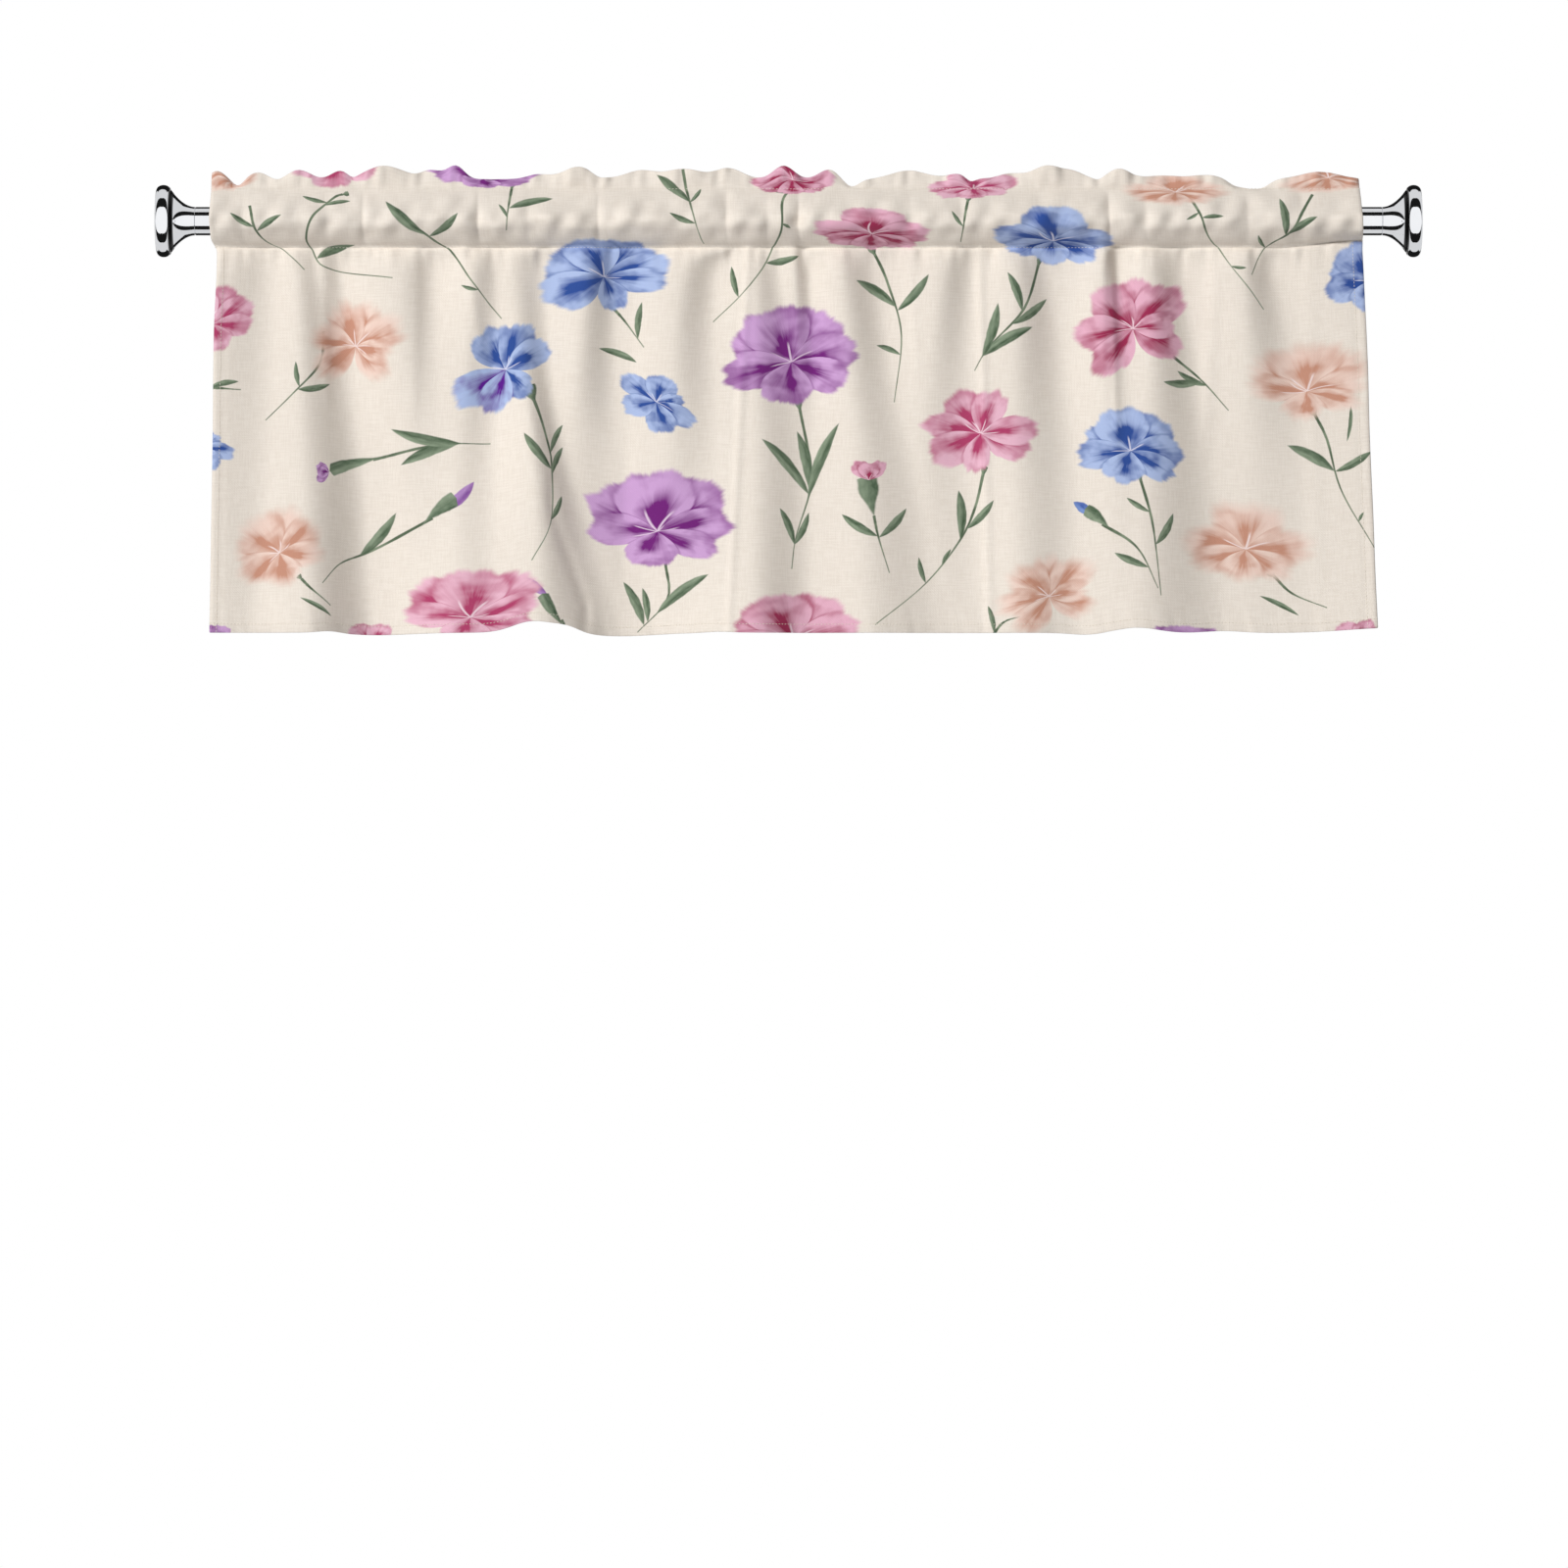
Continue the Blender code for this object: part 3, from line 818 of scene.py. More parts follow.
# %% The layout of the flowers
COLOURS = ("rose", "pink", "blue", "purple", "peach", "violet")
Flower = namedtuple("Flower", "x z wide tall turn form colour")
FLOWERS = (
    Flower(-548, 40, 64, 44, 10, "open", "peach"),
    Flower(-446, 69, 108, 72, 0, "full", "pink"),
    Flower(-567, -97, 88, 68, 20, "full", "pink"),
    Flower(-425, -118, 118, 96, -12, "tossed", "peach"),
    Flower(-182, -52, 138, 92, 4, "ruffled", "blue"),
    Flower(-278, -148, 106, 92, 8, "stained", "blue"),
    Flower(-130, -178, 86, 60, -20, "loose", "blue"),
    Flower(3, -130, 140, 106, 0, "full", "purple"),
    Flower(82, -10, 118, 58, -3, "spread", "rose"),
    Flower(4, 44, 88, 40, 0, "spread", "rose"),
    Flower(181, 34, 94, 42, 5, "spread", "pink"),
    Flower(260, -16, 124, 76, -4, "spread", "blue"),
    Flower(380, 30, 116, 50, 0, "spread", "peach"),
    Flower(338, -101, 136, 102, 6, "tossed", "rose"),
    Flower(510, -154, 130, 86, 0, "side", "peach"),
    Flower(337, -220, 110, 80, -10, "full", "blue"),
    Flower(189, -205, 118, 94, 0, "open", "pink"),
    Flower(450, -315, 140, 94, -4, "spread", "peach"),
    Flower(255, -365, 124, 86, 12, "tossed", "peach"),
    Flower(-502, -320, 104, 88, 20, "full", "peach"),
    Flower(-129, -290, 150, 100, 0, "side", "purple"),
    Flower(-312, -378, 144, 80, 0, "side", "pink"),
    Flower(5, -404, 142, 86, 0, "full", "rose"),
    Flower(-562, -414, 60, 40, 0, "open", "purple"),
    Flower(-409, -414, 84, 44, 0, "open", "pink"),
    Flower(390, -418, 84, 50, 0, "side", "purple"),
    Flower(561, -414, 74, 50, 0, "open", "rose"),
    Flower(-300, 47, 128, 42, 0, "spread", "purple"),
    Flower(572, -52, 92, 78, 0, "full", "blue"),
    Flower(-576, -222, 60, 52, 0, "loose", "blue"),
    Flower(530, 46, 110, 44, 8, "spread", "peach"),
    Flower(79, -248, 48, 34, 0, "bud", "rose"),
    Flower(-456, -247, 26, 26, 90, "bud", "purple"),
)


def spin(degrees):
    turn = math.radians(degrees)
    return np.array([[math.cos(turn), math.sin(turn)], [-math.sin(turn), math.cos(turn)]])


LOBE_POWER = 3.2
FLOWER_ROOM = 1.4
PETAL_TURN_MOST = 1.25
PETAL_OUT_MOST = 1.22
COVERED_SHARE = {"peach": 0.40}
COVERED_SHARE_USUAL = 0.66


def lay_petal(flower, petal, seed):
    below = spin(-flower.turn) @ np.array([0.0, 0.5 * FORMS[flower.form].throat * flower.tall * MM])
    centre = on_cloth(flower.x, flower.z) + below
    stretch = np.diag([2.0 / (flower.wide * MM), 2.0 / (flower.tall * MM)])
    into = np.diag([1.0, 1.0 / petal.width]) @ spin(petal.angle) @ stretch @ spin(flower.turn)
    into = into / petal.length
    room = 0.5 * max(flower.wide, flower.tall) * MM * FLOWER_ROOM
    near = np.flatnonzero(np.abs(face_places - centre).max(axis=1) < room)
    places = (corner_places[near] - centre) @ into.T
    samples = np.concatenate([places, places.mean(axis=1, keepdims=True)], axis=1)
    turned_away = np.abs(np.arctan2(samples[..., 1], samples[..., 0]))
    out_from = np.hypot(samples[..., 0], samples[..., 1])
    rim = np.sqrt(np.maximum(1.0 - np.minimum(turned_away, 1.0) ** LOBE_POWER, 0.0))
    reached = ((turned_away < PETAL_TURN_MOST) & (out_from < PETAL_OUT_MOST)).any(axis=1)
    inside = reached & ~hidden[near]
    petals.add(near[inside], places[inside], COLOURS.index(petal.stain or flower.colour) + seed)
    covered = COVERED_SHARE.get(flower.colour, COVERED_SHARE_USUAL)
    hidden[near] |= (out_from < covered * rim).all(axis=1)


STAMENS_ABOVE = -0.3
seeds = np.random.default_rng(5)
hidden = np.zeros(len(faces), bool)
for flower in FLOWERS:
    for petal in reversed(FORMS[flower.form].petals):
        faces_up = math.sin(math.radians(petal.angle)) > STAMENS_ABOVE
        lay_petal(flower, petal, seeds.uniform(0.05, 0.45) + 0.5 * faces_up)
print(len(FLOWERS), "flowers;", int((petals.used == PETAL_SLOTS).sum()), "faces have all slots full")

# %% [markdown]
# ## Stems, leaves and buds
# Every sprig is a stem through a few points, with leaves that leave it at a share of its
# length and end at a given point. A leaf is a long lens that bends a little. A bud is a
# green cup with a coloured tip. The points of the stems and the tips of the leaves were
# read off the photograph and turned into millimetres, so the layout follows it. The
# shapes of the leaves, cups and stems are drawn by rule.

# %% Sprig layout
Sprig = namedtuple("Sprig", "stem cup leaves")
SPRIGS = (
    Sprig(((-529, 14), (-519, -15), (-476, -48)), 0, ((0.42, (-497, 5)), (0.36, (-548, 7)))),
    Sprig(((-438, 26), (-447, 22), (-471, -5), (-466, -34), (-447, -48), (-389, -56)), 8,
          ((0.25, (-478, 24)), (0.28, (-430, 19)), (0.62, (-426, -24)))),
    Sprig(((-372, -2), (-346, -21), (-312, -58), (-282, -96)), 0,
          ((0.22, (-396, 19)), (0.24, (-324, 7)), (0.75, (-322, -63)))),
    Sprig(((-272, 33), (-277, -10)), 8, ((0.75, (-285, 16)), (0.55, (-231, 21)))),
    Sprig(((-174, -84), (-161, -98), (-142, -124)), 9, ((0.85, (-144, -79)),)),
    Sprig(((-104, 51), (-96, 14), (-83, -22)), 0,
          ((0.45, (-130, 46)), (0.45, (-86, 32)), (0.72, (-117, 7)))),
    Sprig(((3, 33), (-6, 19), (-9, -15), (-38, -63), (-74, -99)), 0,
          ((0.12, (-21, 33)), (0.42, (2, -8)), (0.64, (10, -34)), (0.82, (-56, -44)))),
    Sprig(((84, -31), (98, -62), (111, -111), (104, -178)), 10,
          ((0.50, (66, -58)), (0.52, (138, -52)), (0.78, (86, -122)))),
    Sprig(((246, -40), (231, -87), (196, -125), (183, -147)), 6,
          ((0.35, (215, -50)), (0.78, (206, -80)), (0.45, (254, -76)), (0.78, (240, -104)))),
    Sprig(((176, 19), (169, -21)), 7, ((0.6, (160, 9)),)),
    Sprig(((395, 21), (404, 5), (419, -24), (467, -87)), 0,
          ((0.30, (390, 0)), (0.38, (427, 3)), (0.80, (450, -46)))),
    Sprig(((515, 26), (494, -10), (472, -24), (455, -53)), 0,
          ((0.42, (482, 22)), (0.40, (519, 3)), (0.72, (461, -14)))),
    Sprig(((372, -128), (404, -154), (433, -186)), 6, ((0.55, (368, -158)), (0.62, (382, -147)))),
    Sprig(((518, -190), (530, -215), (544, -265), (576, -321)), 12,
          ((0.55, (490, -220)), (0.55, (574, -226)), (0.85, (566, -286)))),
    Sprig(((345, -252), (356, -290), (361, -323), (366, -368)), 13,
          ((0.30, (332, -272)), (0.62, (378, -287)))),
    Sprig(((192, -246), (184, -280), (169, -313), (135, -356), (85, -397)), 7,
          ((0.50, (167, -264)), (0.42, (202, -274)), (0.66, (160, -322)), (0.74, (128, -330)))),
    Sprig(((10, -179), (20, -230), (21, -265), (7, -311), (3, -342)), 11,
          ((0.52, (-27, -214)), (0.55, (50, -198)), (0.50, (8, -206)), (0.80, (-9, -282)),
           (0.80, (20, -286)))),
    Sprig(((-121, -336), (-119, -371), (-149, -404)), 0,
          ((0.90, (-163, -354)), (0.72, (-78, -347)), (0.85, (-144, -360)))),
    Sprig(((-252, -172), (-238, -214), (-233, -240), (-233, -294), (-252, -334)), 15,
          ((0.52, (-260, -208)), (0.40, (-222, -200)), (0.55, (-222, -222)), (0.76, (-223, -270)))),
    Sprig(((-457, -112), (-461, -140), (-486, -169), (-514, -196)), 5,
          ((0.60, (-484, -138)), (0.62, (-451, -160)))),
    Sprig(((-572, -164), (-538, -166)), 0, ((0.1, (-540, -158)),)),
    Sprig(((84, -290), (88, -310), (99, -346)), 0, ((0.50, (52, -288)), (0.52, (116, -282)))),
    Sprig(((-409, -234), (-345, -220), (-293, -219)), 0, ((0.72, (-392, -204)), (0.70, (-382, -240)))),
    Sprig(((-350, -292), (-409, -323), (-440, -336), (-458, -356)), 0, ((0.45, (-386, -286)),)),
    Sprig(((-223, -392), (-216, -406)), 0, ()),
    Sprig(((308, -298), (343, -322), (363, -361)), 0, ((0.75, (320, -326)),)),
    Sprig(((-478, -352), (-468, -362), (-450, -378)), 6, ()),
    Sprig(((478, -349), (496, -366), (530, -380)), 9, ()),
    Sprig(((200, -408), (212, -394), (232, -388)), 0, ((0.1, (196, -378)),)),
)
Blade = namedtuple("Blade", "base tip half bend colour")
BLADES = (
    Blade((-187, -125), (-149, -139), 3.4, 0.12, "leaf"),
    Blade((553, -180), (549, -217), 2.0, 0.10, "leaf"),
    Blade((-480, -370), (-449, -389), 2.2, 0.08, "leaf"),
    Blade((463, -368), (503, -388), 2.6, 0.08, "leaf"),
    Blade((85, -294), (77, -250), 11.0, 0.04, "cup"),
    Blade((-396, -231), (-452, -246), 6.4, -0.06, "cup"),
    Blade((-362, -301), (-326, -272), 7.6, 0.10, "cup"),
    Blade((-338, -284), (-309, -256), 6.0, -0.10, "purple tip"),
    Blade((-219, -402), (-242, -366), 6.6, 0.10, "cup"),
    Blade((-236, -368), (-262, -350), 5.0, 0.10, "purple tip"),
    Blade((317, -304), (291, -283), 6.6, -0.12, "cup"),
    Blade((300, -288), (280, -276), 5.2, 0.0, "blue tip"),
)
BLADE_COLOURS = ("leaf", "cup", "purple tip", "blue tip")
print(len(SPRIGS), "sprigs and", len(BLADES), "single leaves and bud parts")

# %% Place the stems and leaves
CURVE_STEPS = 20
STEM_HALF = 0.00165
MARGIN = 0.0045
CUP_RISE = 0.8
CUP_HALF = 0.46
LEAF_SLIMNESS = 0.100
LEAF_HALF_LEAST = 0.0017
LEAF_HALF_MOST = 0.0055
LEAF_BEND = 0.10


def smooth_path(points, steps):
    """A smooth curve through points, as (steps + 1) places."""
    points = np.asarray(points, float)
    ends = np.concatenate([[2 * points[0] - points[1]], points, [2 * points[-1] - points[-2]]])
    t = np.linspace(0.0, len(points) - 1.0, steps + 1)
    i = np.minimum(t.astype(int), len(points) - 2)
    f = (t - i)[:, None]
    a, b, c, d = (ends[i + k] for k in range(4))
    return 0.5 * (2 * b + (c - a) * f + (2 * a - 5 * b + 4 * c - d) * f ** 2
                  + (3 * b - a - 3 * c + d) * f ** 3)


def along_and_across(path, places):
    """For each place, its share of the way along a path and its signed distance from it."""
    starts, runs = path[:-1], np.diff(path, axis=0)
    offset = places[..., None, :] - starts
    squared = (runs ** 2).sum(axis=-1)
    raw = (offset * runs).sum(axis=-1) / squared
    share = np.clip(raw, 0.0, 1.0)
    share[..., 0] = np.minimum(raw[..., 0], 1.0)
    share[..., -1] = np.maximum(raw[..., -1], 0.0)
    away = offset - share[..., None] * runs
    nearest = np.linalg.norm(away, axis=-1).argmin(axis=-1)[..., None]
    side = (runs[:, 0] * offset[..., 1] - runs[:, 1] * offset[..., 0]) / np.sqrt(squared)
    index = np.arange(len(runs))
    lengthwise = np.take_along_axis((index + share) / len(runs), nearest, axis=-1)[..., 0]
    return lengthwise, np.take_along_axis(side, nearest, axis=-1)[..., 0]


def lay_blade(slots, path, half, code):
    low_corner = path.min(axis=0) - half - MARGIN
    high_corner = path.max(axis=0) + half + MARGIN
    inside = ((face_places > low_corner) & (face_places < high_corner)).all(axis=1)
    near = np.flatnonzero(inside)
    lengthwise, sideways = along_and_across(path, corner_places[near])
    kept = np.abs(sideways.mean(axis=1)) < half + MARGIN
    slots.add(near[kept], np.stack([lengthwise, sideways / half], axis=-1)[kept], code)


def leaf_path(base, tip, bend):
    base, tip = np.asarray(base), np.asarray(tip)
    run = tip - base
    middle_point = 0.5 * (base + tip) + bend * np.array([-run[1], run[0]])
    t = np.linspace(0.0, 1.0, CURVE_STEPS + 1)[:, None]
    return (1 - t) ** 2 * base + 2 * t * (1 - t) * middle_point + t ** 2 * tip


leaf_count = 0
for blade in BLADES:
    path = leaf_path(on_cloth(*blade.base), on_cloth(*blade.tip), blade.bend)
    lay_blade(leaves, path, blade.half * MM,
              BLADE_COLOURS.index(blade.colour) + seeds.uniform(0.05, 0.95))
for sprig in SPRIGS:
    stem = smooth_path([on_cloth(*point) for point in sprig.stem], 2 * CURVE_STEPS)
    lay_blade(stems, stem, STEM_HALF, seeds.uniform(0.05, 0.95))
    if sprig.cup:
        direction = (stem[0] - stem[3]) / np.linalg.norm(stem[0] - stem[3])
        cup = leaf_path(stem[2], stem[0] + direction * CUP_RISE * sprig.cup * MM, 0.0)
        lay_blade(leaves, cup, CUP_HALF * sprig.cup * MM,
                  BLADE_COLOURS.index("cup") + seeds.uniform(0.05, 0.95))
    for share_along, tip in sprig.leaves:
        base = stem[round(share_along * (len(stem) - 1))]
        tip = on_cloth(*tip)
        length = np.linalg.norm(tip - base)
        half = np.clip(LEAF_SLIMNESS * length, LEAF_HALF_LEAST, LEAF_HALF_MOST)
        bend = LEAF_BEND * (1.0 if seeds.uniform() < 0.5 else -1.0)
        lay_blade(leaves, leaf_path(base, tip, bend), half, seeds.uniform(0.05, 0.95))
        leaf_count += 1
for slots in (petals, leaves, stems):
    slots.store()
flat_layer = cloth_mesh.attributes.new("flat_place", "FLOAT_VECTOR", "CORNER")
flat_values = np.concatenate([corner_places, np.zeros(corner_places.shape[:2] + (1,))], axis=-1)
flat_layer.data.foreach_set("vector", flat_values.astype(np.float32).ravel())
print(leaf_count, "leaves on stems")

# %% [markdown]
# ## Building materials in code
# A material is a web of nodes. Writing each node out in full would hide the idea under
# bookkeeping, so a few helpers add a node, set its inputs by name or number, and return
# the socket that carries its answer.

# %% Helpers for node trees
def node(tree, kind, inputs=None, **settings):
    made = tree.nodes.new(kind)
    for name, value in settings.items():
        setattr(made, name, value)
    for name, value in (inputs or {}).items():
        connect(tree, value, made.inputs[name])
    return made


def connect(tree, value, socket):
    if isinstance(value, bpy.types.NodeSocket):
        tree.links.new(value, socket)
    else:
        socket.default_value = value


def calc(tree, operation, *values, clamp=False):
    made = node(tree, "ShaderNodeMath", dict(enumerate(values)), operation=operation,
                use_clamp=clamp)
    return made.outputs[0]


def fade(tree, value, start, end, low=0.0, high=1.0):
    """Smoothly from low at start to high at end."""
    made = node(tree, "ShaderNodeMapRange", {"Value": value, "From Min": start, "From Max": end,
                                             "To Min": low, "To Max": high},
                interpolation_type="SMOOTHSTEP")
    return made.outputs[0]


def blend_colour(tree, share, first, second, how="MIX"):
    made = node(tree, "ShaderNodeMix", data_type="RGBA", blend_type=how, clamp_factor=True)
    connect(tree, share, made.inputs[0])
    connect(tree, first, made.inputs[6])
    connect(tree, second, made.inputs[7])
    return made.outputs[2]


def vector(tree, x, y, z):
    return node(tree, "ShaderNodeCombineXYZ", {"X": x, "Y": y, "Z": z}).outputs[0]


def noise(tree, place, scale, detail=2.0, roughness=0.5):
    made = node(tree, "ShaderNodeTexNoise", {"Vector": place, "Scale": scale, "Detail": detail,
                                             "Roughness": roughness})
    return made.outputs["Fac"]


def paint(red, green, blue):
    """A screen colour, with parts from 0 to 255, as a shader needs it."""
    linear = [((c / 255 + 0.055) / 1.055) ** 2.4 if c > 10 else c / 255 / 12.92
              for c in (red, green, blue)]
    return (*linear, 1.0)


MOST_COLOURS = 8


def pick(tree, value, colours):
    """One of a few colours, by the whole part of value."""
    made = node(tree, "ShaderNodeValToRGB", {"Fac": calc(tree, "DIVIDE", value, float(MOST_COLOURS))})
    ramp = made.color_ramp
    ramp.interpolation = "CONSTANT"
    ramp.elements.remove(ramp.elements[1])
    ramp.elements[0].color = colours[0]
    for i, colour in enumerate(colours[1:], start=1):
        ramp.elements.new(i / MOST_COLOURS).color = colour
    return made.outputs["Color"]


def new_group(name, inputs, outputs):
    tree = bpy.data.node_groups.new(name, "ShaderNodeTree")
    for socket_name, kind in inputs:
        tree.interface.new_socket(socket_name, in_out="INPUT", socket_type=kind)
    for socket_name, kind in outputs:
        tree.interface.new_socket(socket_name, in_out="OUTPUT", socket_type=kind)
    start = tree.nodes.new("NodeGroupInput")
    end = tree.nodes.new("NodeGroupOutput")
    return tree, start.outputs, end.inputs


print("helpers ready")

# %% [markdown]
# ## A watercolour petal
# On the cloth each petal is a wash of dye: pale, with one deep stroke that runs from the
# flower's throat along its middle and fades out before a lightly fringed rim. The petal is
# drawn in polar terms. The distance from the throat gives the wash, the direction gives
# the stroke and its streaks, and a power of the direction gives the round outline, which
# two noises then wave and fray. Stamens are a few pale lines that bend as they go out.
# The bare numbers in this drawing and the next are shares of a petal's or leaf's own
# length, shares of a tone, turns in radians and how fine a noise is.

# %% The petal group
PETAL_LIGHT = (paint(230, 178, 198), paint(234, 186, 204), paint(176, 193, 231),
               paint(208, 165, 214), paint(240, 213, 200), paint(176, 193, 231))
PETAL_DEEP = (paint(158, 48, 84), paint(176, 66, 106), paint(50, 80, 152),
              paint(116, 38, 122), paint(201, 147, 125), paint(92, 30, 140))
PETAL_SOFT = [(soft,) * 3 + (1,) for soft in (0.11, 0.12, 0.10, 0.09, 0.36, 0.12)]
SEED_SPREAD = 37.0
STAMEN_WHITE = paint(250, 238, 242)


def petal_group():
    tree, given, result = new_group("Watercolour petal", [("Place", "NodeSocketVector")],
                                    [("Colour", "NodeSocketColor"), ("Cover", "NodeSocketFloat"),
                                     ("Shade", "NodeSocketFloat"),
                                     ("Shade Colour", "NodeSocketColor")])
    part = node(tree, "ShaderNodeSeparateXYZ", {0: given["Place"]}).outputs
    there = calc(tree, "GREATER_THAN", part["Z"], 0.0)
    seed = calc(tree, "FRACT", part["Z"])
    shift = calc(tree, "MULTIPLY", seed, SEED_SPREAD)
    own = calc(tree, "FRACT", calc(tree, "MULTIPLY", seed, 7.31))
    out_from = calc(tree, "POWER", calc(tree, "ADD", calc(tree, "MULTIPLY", part["X"], part["X"]),
                                        calc(tree, "MULTIPLY", part["Y"], part["Y"])), 0.5)
    turn = calc(tree, "ARCTAN2", part["Y"], part["X"])
    away = calc(tree, "ABSOLUTE", turn)

    # the outline: a round lobe that two noises wave and fray
    narrowed = calc(tree, "POWER", calc(tree, "MINIMUM", away, 1.0), LOBE_POWER)
    narrowed = calc(tree, "SUBTRACT", 1.0, narrowed)
    lobe = calc(tree, "POWER", calc(tree, "MAXIMUM", narrowed, 0.0), 0.46)
    wavy = noise(tree, vector(tree, calc(tree, "MULTIPLY", turn, 2.6), shift, 0.0), 1.0)
    fringe = noise(tree, vector(tree, calc(tree, "MULTIPLY", turn, 22.0), shift, 3.0), 1.0, 2.0, 0.6)
    ragged = calc(tree, "ADD", calc(tree, "MULTIPLY_ADD", wavy, 0.38, -0.19),
                  calc(tree, "MULTIPLY_ADD", fringe, 0.07, -0.035))
    rim = calc(tree, "MULTIPLY", lobe, calc(tree, "ADD", ragged, 0.95))
    reach = calc(tree, "DIVIDE", out_from, calc(tree, "MAXIMUM", rim, 0.001))
    soft = node(tree, "ShaderNodeSeparateColor", {0: pick(tree, part["Z"], PETAL_SOFT)}).outputs[0]
    cover = fade(tree, reach, calc(tree, "SUBTRACT", 1.02, soft), 1.04, 1.0, 0.0)
    cover = calc(tree, "MULTIPLY", cover, there)

    # the deep stroke along the middle, bent a little and broken into streaks
    wander = noise(tree, vector(tree, calc(tree, "MULTIPLY", out_from, 2.5), shift, 9.0), 1.0, 1.0)
    bent = calc(tree, "MULTIPLY_ADD", out_from, calc(tree, "MULTIPLY_ADD", own, 0.9, -0.45), turn)
    bent = calc(tree, "ABSOLUTE", calc(tree, "ADD", bent, calc(tree, "MULTIPLY_ADD", wander, 0.6, -0.3)))
    stroke = fade(tree, bent, 0.03, calc(tree, "MULTIPLY_ADD", own, 0.42, 0.34), 1.0, 0.0)
    stroke = calc(tree, "MULTIPLY", stroke, fade(tree, out_from, 0.04, 0.22, 0.55, 1.0))
    stroke = calc(tree, "MULTIPLY", stroke,
                  fade(tree, reach, 0.34, calc(tree, "MULTIPLY_ADD", own, -0.30, 1.02), 1.0, 0.0))
    streak_place = vector(tree, calc(tree, "MULTIPLY", turn, 8.0),
                          calc(tree, "MULTIPLY", out_from, 1.2), shift)
    streaks = noise(tree, streak_place, 1.0, 3.0, 0.6)
    stroke = calc(tree, "MULTIPLY", stroke, fade(tree, streaks, 0.36, 0.60, 0.66, 1.05))
    # the wash: how deep the dye is, paler towards the petal's two sides
    wash_place = vector(tree, calc(tree, "MULTIPLY", part["X"], 2.6),
                        calc(tree, "MULTIPLY", part["Y"], 1.6), shift)
    wash = noise(tree, wash_place, 1.0, 2.0)
    slant = calc(tree, "MULTIPLY_ADD", calc(tree, "FRACT", calc(tree, "MULTIPLY", seed, 11.7)),
                 0.6, -0.3)
    depth = calc(tree, "ADD", stroke, fade(tree, reach, 0.05, 0.85, 0.56, 0.14))
    depth = calc(tree, "MULTIPLY_ADD", turn, slant, depth)
    depth = calc(tree, "ADD", depth, fade(tree, wash, 0.38, 0.66, -0.20, 0.36))
    depth = calc(tree, "ADD", depth, calc(tree, "MULTIPLY_ADD", streaks, 0.44, -0.22))
    depth = calc(tree, "ADD", depth, fade(tree, reach, 0.80, 0.98, 0.0, 0.10))
    paler = calc(tree, "MULTIPLY", fade(tree, away, 0.50, 0.95, 0.0, 0.30),
                 fade(tree, out_from, 0.08, 0.50, 0.20, 1.0))
    depth = calc(tree, "SUBTRACT", depth, paler, clamp=True)
    light = pick(tree, part["Z"], PETAL_LIGHT)
    deep = pick(tree, part["Z"], PETAL_DEEP)
    colour = blend_colour(tree, depth, light, deep)

    # stamens: pale lines over the petals that face up, and a shade on what lies below
    swept = calc(tree, "MULTIPLY_ADD", out_from, calc(tree, "MULTIPLY_ADD", own, 2.2, -1.1), turn)
    swept = calc(tree, "ADD", swept, calc(tree, "MULTIPLY", own, 0.5))
    beside = calc(tree, "ABSOLUTE", calc(tree, "SUBTRACT",
                                         calc(tree, "FRACT", calc(tree, "ADD", swept, 0.5)), 0.5))
    line = fade(tree, calc(tree, "MULTIPLY", beside, out_from), 0.006, 0.023, 1.0, 0.0)
    line_end = calc(tree, "MULTIPLY_ADD", own, 0.16, 0.24)
    line = calc(tree, "MULTIPLY", line, fade(tree, calc(tree, "SUBTRACT", out_from, line_end),
                                             -0.07, 0.05, 0.85, 0.0))
    line = calc(tree, "MULTIPLY", line, calc(tree, "GREATER_THAN", seed, 0.5))
    colour = blend_colour(tree, line, colour, blend_colour(tree, 0.55, light, STAMEN_WHITE))
    shade = calc(tree, "MULTIPLY", fade(tree, reach, 1.0, 1.20, 0.42, 0.0), there)
    connect(tree, colour, result["Colour"])
    connect(tree, cover, result["Cover"])
    connect(tree, shade, result["Shade"])
    connect(tree, deep, result["Shade Colour"])
    return tree


petal_tree = petal_group()
print(len(petal_tree.nodes), "nodes draw a petal")

# %% [markdown]
# ## Leaves and stems
# A leaf is drawn from how far along it and how far across it a place lies. Its outline is
# a lens, and one half is a little lighter than the other. A cup below a bud or a flower is
# drawn the same way, but widens like a goblet to a blunt end.
# A stem is the same idea with an even width that tapers to its end.

# %% The leaf and stem groups
BLADE_LIGHT = (paint(146, 161, 137), paint(148, 163, 139), paint(190, 150, 206),
               paint(132, 158, 214))
BLADE_DARK = (paint(70, 90, 67), paint(74, 95, 72), paint(136, 86, 160),
              paint(66, 94, 166))
STEM_LIGHT = paint(132, 146, 122)
STEM_DARK = paint(82, 99, 77)


